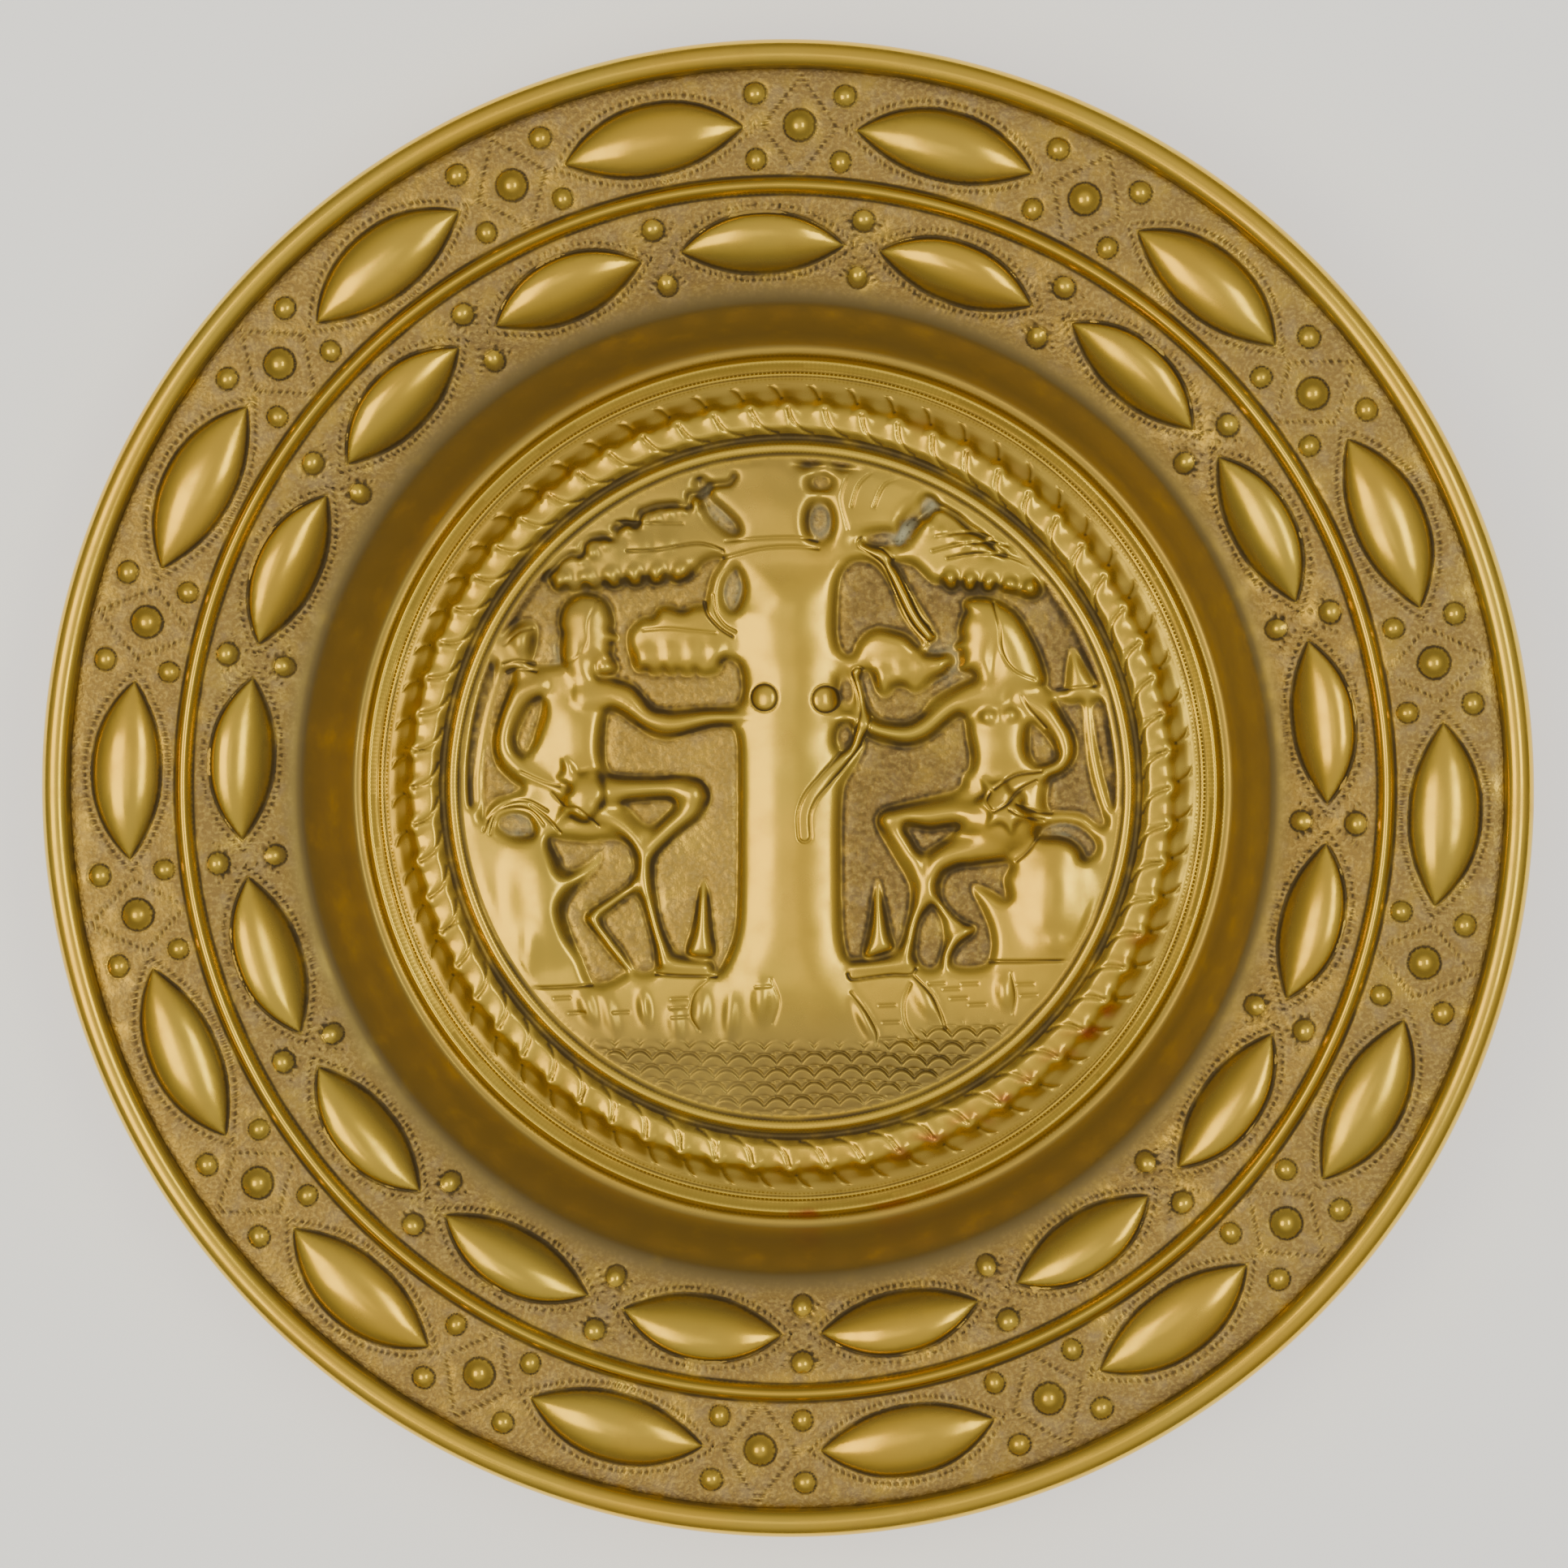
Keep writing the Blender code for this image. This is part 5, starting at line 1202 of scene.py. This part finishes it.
def sums(tree, operation, first, second):
    """One value from two, each a socket or a plain number."""
    node = tree.nodes.new("ShaderNodeMath")
    node.operation = operation
    for socket, value in zip(node.inputs, (first, second)):
        if isinstance(value, float):
            socket.default_value = value
        else:
            tree.links.new(value, socket)
    return node.outputs[0]


def layered(tree, share, under, over):
    """One colour over another, by a share."""
    node = tree.nodes.new("ShaderNodeMix")
    node.data_type = "RGBA"
    tree.links.new(share, node.inputs["Factor"])
    for name, colour in (("A_Color", under), ("B_Color", over)):
        socket = next(s for s in node.inputs if s.identifier == name)
        if isinstance(colour, tuple):
            socket.default_value = (*colour, 1)
        else:
            tree.links.new(colour, socket)
    return next(s for s in node.outputs if s.identifier == "Result_Color")


def blotches(tree, place, size, detail=3.0, seed=(0.0, 0.0, 0.0)):
    """Soft uneven blotches, about 0 to 1, with a size in millimetres."""
    shift = tree.nodes.new("ShaderNodeMapping")
    shift.inputs["Location"].default_value = seed
    tree.links.new(place, shift.inputs["Vector"])
    noise = tree.nodes.new("ShaderNodeTexNoise")
    noise.inputs["Scale"].default_value = 1000 / size
    noise.inputs["Detail"].default_value = detail
    tree.links.new(shift.outputs["Vector"], noise.inputs["Vector"])
    return noise.outputs["Fac"]


def aged_brass():
    """Old brass: worn bright gold where it stands proud, a matted rose-brown skin on the ground, grime and
    painted shade in lines, hollows and on steep places, and an olive of patina and painted shade.
    """
    material = bpy.data.materials.new("aged_brass")
    material.use_nodes = True
    tree = material.node_tree
    shader = tree.nodes["Principled BSDF"]
    place = tree.nodes.new("ShaderNodeTexCoord").outputs["Object"]
    marks = {}
    for name in MARKS:
        node = tree.nodes.new("ShaderNodeAttribute")
        node.attribute_name = name
        marks[name] = node.outputs["Fac"]
    broad = blotches(tree, place, 45)
    middling = blotches(tree, place, 9, 4)
    fine = blotches(tree, place, 1.1, 2)
    ground = sums(tree, "MULTIPLY", marks["ground"], mask(tree, middling, 0.05, 0.55))
    # grime and painted shade, where the hollow mark is high
    grime_and_shade = mask(tree, marks["hollow"], 0.05, 0.46, 0.9)
    grime_and_shade = sums(tree, "MULTIPLY", grime_and_shade, mask(tree, middling, -0.1, 0.6))
    proud = mask(tree, sums(tree, "MULTIPLY", marks["hollow"], -1.0), 0.03, 0.35, 0.6)
    patina_and_shade = sums(tree, "MULTIPLY", marks["patina_and_shade"], mask(tree, middling, -0.4, 0.5))

    colour = layered(tree, mask(tree, broad, 0.3, 0.7), BRASS_GREENISH, BRASS_GOLD)
    colour = layered(tree, mask(tree, middling, 0.5, 0.75, 0.4), colour, BRASS_DULL)
    # olive of patina and painted shade
    colour = layered(tree, patina_and_shade, colour, WELL_OLIVE)
    colour = layered(tree, ground, colour, GROUND_ROSE)
    bloom = mask(tree, blotches(tree, place, 6, 4, (0.3, 0.1, 0.0)), 0.5, 0.7, 0.8)
    colour = layered(tree, sums(tree, "MULTIPLY", ground, bloom), colour, GROUND_VIOLET)
    speckle = mask(tree, fine, 0.42, 0.72, 0.7)
    colour = layered(tree, sums(tree, "MULTIPLY", ground, speckle), colour, GROUND_PALE)
    # grime and painted shade laid over the brass
    colour = layered(tree, grime_and_shade, colour, GRIME_AND_SHADE)
    colour = layered(tree, proud, colour, BRASS_RUBBED)
    colour = layered(tree, marks["stain"], colour, COPPER)
    powder = layered(tree, mask(tree, fine, 0.15, 0.5), GRIME_AND_SHADE, RESIDUE_GREY)
    colour = layered(tree, marks["residue"], colour, powder)
    tree.links.new(colour, shader.inputs["Base Color"])

    rough = sums(tree, "ADD", mask(tree, middling, 0.3, 0.75, 0.1), POLISHED_ROUGHNESS)
    for cover, extra in ((ground, 0.2), (patina_and_shade, 0.14), (grime_and_shade, 0.25), (marks["residue"], 0.35)):
        rough = sums(tree, "ADD", rough, mask(tree, cover, 0.0, 1.0, extra))
    tree.links.new(rough, shader.inputs["Roughness"])
    covered = marks["residue"]
    for cover, share in ((grime_and_shade, 0.75), (ground, 0.3), (patina_and_shade, 0.45), (marks["stain"], 0.3)):
        covered = sums(tree, "MAXIMUM", covered, mask(tree, cover, 0.0, 1.0, share))
    tree.links.new(sums(tree, "SUBTRACT", 1.0, covered), shader.inputs["Metallic"])

    stipple = sums(tree, "MULTIPLY", fine, mask(tree, ground, 0.0, 1.0, STIPPLE_DEPTH))
    dents = sums(tree, "MULTIPLY", middling, DENT_DEPTH)
    bump = tree.nodes.new("ShaderNodeBump")
    bump.inputs["Strength"].default_value = BUMP_STRENGTH
    bump.inputs["Distance"].default_value = BUMP_DEPTH * MM
    tree.links.new(sums(tree, "ADD", stipple, dents), bump.inputs["Height"])
    tree.links.new(bump.outputs["Normal"], shader.inputs["Normal"])
    return material


def pale_floor():
    """The plain floor that the dish lies on, a little lit of itself so that it stays pale."""
    bpy.ops.mesh.primitive_plane_add(size=FLOOR_SIZE, location=(0, 0, 0))
    floor = bpy.context.object
    floor.name = "floor"
    material = bpy.data.materials.new("pale_floor")
    material.use_nodes = True
    shader = material.node_tree.nodes["Principled BSDF"]
    shader.inputs["Base Color"].default_value = (FLOOR_GREY, FLOOR_GREY, FLOOR_GREY, 1)
    shader.inputs["Roughness"].default_value = FLOOR_ROUGHNESS
    shader.inputs["Emission Color"].default_value = (1, 1, 1, 1)
    shader.inputs["Emission Strength"].default_value = FLOOR_GLOW
    floor.data.materials.append(material)


# ---- light and camera --------------------------------------------------------------------------------
def facing(direction, up=(0, 1, 0)):
    """A rotation whose own -Z points along a direction."""
    back = -Vector(direction).normalized()
    right = Vector(up).cross(back).normalized()
    return Matrix((right, back.cross(right), back)).transposed().to_euler()


def softbox(name, bearing, off_axis, distance, size, power, colour):
    """An area light that faces the dish from a bearing clockwise from the top and an angle off upright."""
    light = bpy.data.lights.new(name, "AREA")
    light.shape = "RECTANGLE"
    light.size, light.size_y = size
    light.energy = power
    light.color = colour
    lamp = bpy.data.objects.new(name, light)
    across = polar(math.sin(math.radians(off_axis)), bearing)
    direction = Vector((*across, math.cos(math.radians(off_axis))))
    lamp.location = direction * distance
    lamp.rotation_euler = facing(-direction)
    bpy.context.scene.collection.objects.link(lamp)


def camera():
    """A long lens that looks down on the dish, a little from the right and above."""
    sight = Vector((math.sin(math.radians(CAMERA_RIGHT)), math.sin(math.radians(CAMERA_UP)), 0))
    sight.z = math.sqrt(1 - sight.length_squared)
    lens = bpy.data.cameras.new("camera")
    lens.sensor_width = CAMERA_SENSOR
    lens.lens = CAMERA_LENS
    eye = bpy.data.objects.new("camera", lens)
    eye.location = Vector(CAMERA_AIM) + sight * CAMERA_DISTANCE
    eye.rotation_euler = facing(-sight)
    bpy.context.scene.collection.objects.link(eye)
    bpy.context.scene.camera = eye


def lit_room():
    """Soft light from above that falls off towards the room's sides, and the softboxes."""
    world = bpy.data.worlds.new("room")
    world.use_nodes = True
    tree = world.node_tree
    apart = tree.nodes.new("ShaderNodeSeparateXYZ")
    tree.links.new(tree.nodes.new("ShaderNodeTexCoord").outputs["Generated"], apart.inputs[0])
    overhead = mask(tree, apart.outputs["Z"], 0.25, 1.0, ROOM_OVERHEAD)
    room = tree.nodes["Background"]
    tree.links.new(sums(tree, "ADD", overhead, ROOM_SIDES), room.inputs["Strength"])
    room.inputs["Color"].default_value = (*ROOM_COLOUR, 1)
    bpy.context.scene.world = world
    for light in SOFTBOXES:
        softbox(*light)


# ---- the charger -------------------------------------------------------------------------------------
for leftover in list(bpy.data.objects):
    bpy.data.objects.remove(leftover)
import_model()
bpy.ops.object.select_all(action="DESELECT")

camera()
lit_room()
pale_floor()
brass = aged_brass()
picture = picture_surface(*picture_map())
pieces = [sheet_piece("picture", 0, PICTURE_RADIUS, PICTURE_STEP, picture, PICTURE_BUDGET)]
pieces += [sheet_piece(name, inner, outer, step, sheet_height, budget)
           for name, inner, outer, step, budget in RINGS]
pieces.append(rolled_edge())
for piece in pieces:
    piece.data.materials.append(brass)
    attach(piece, "root")
    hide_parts("charger")
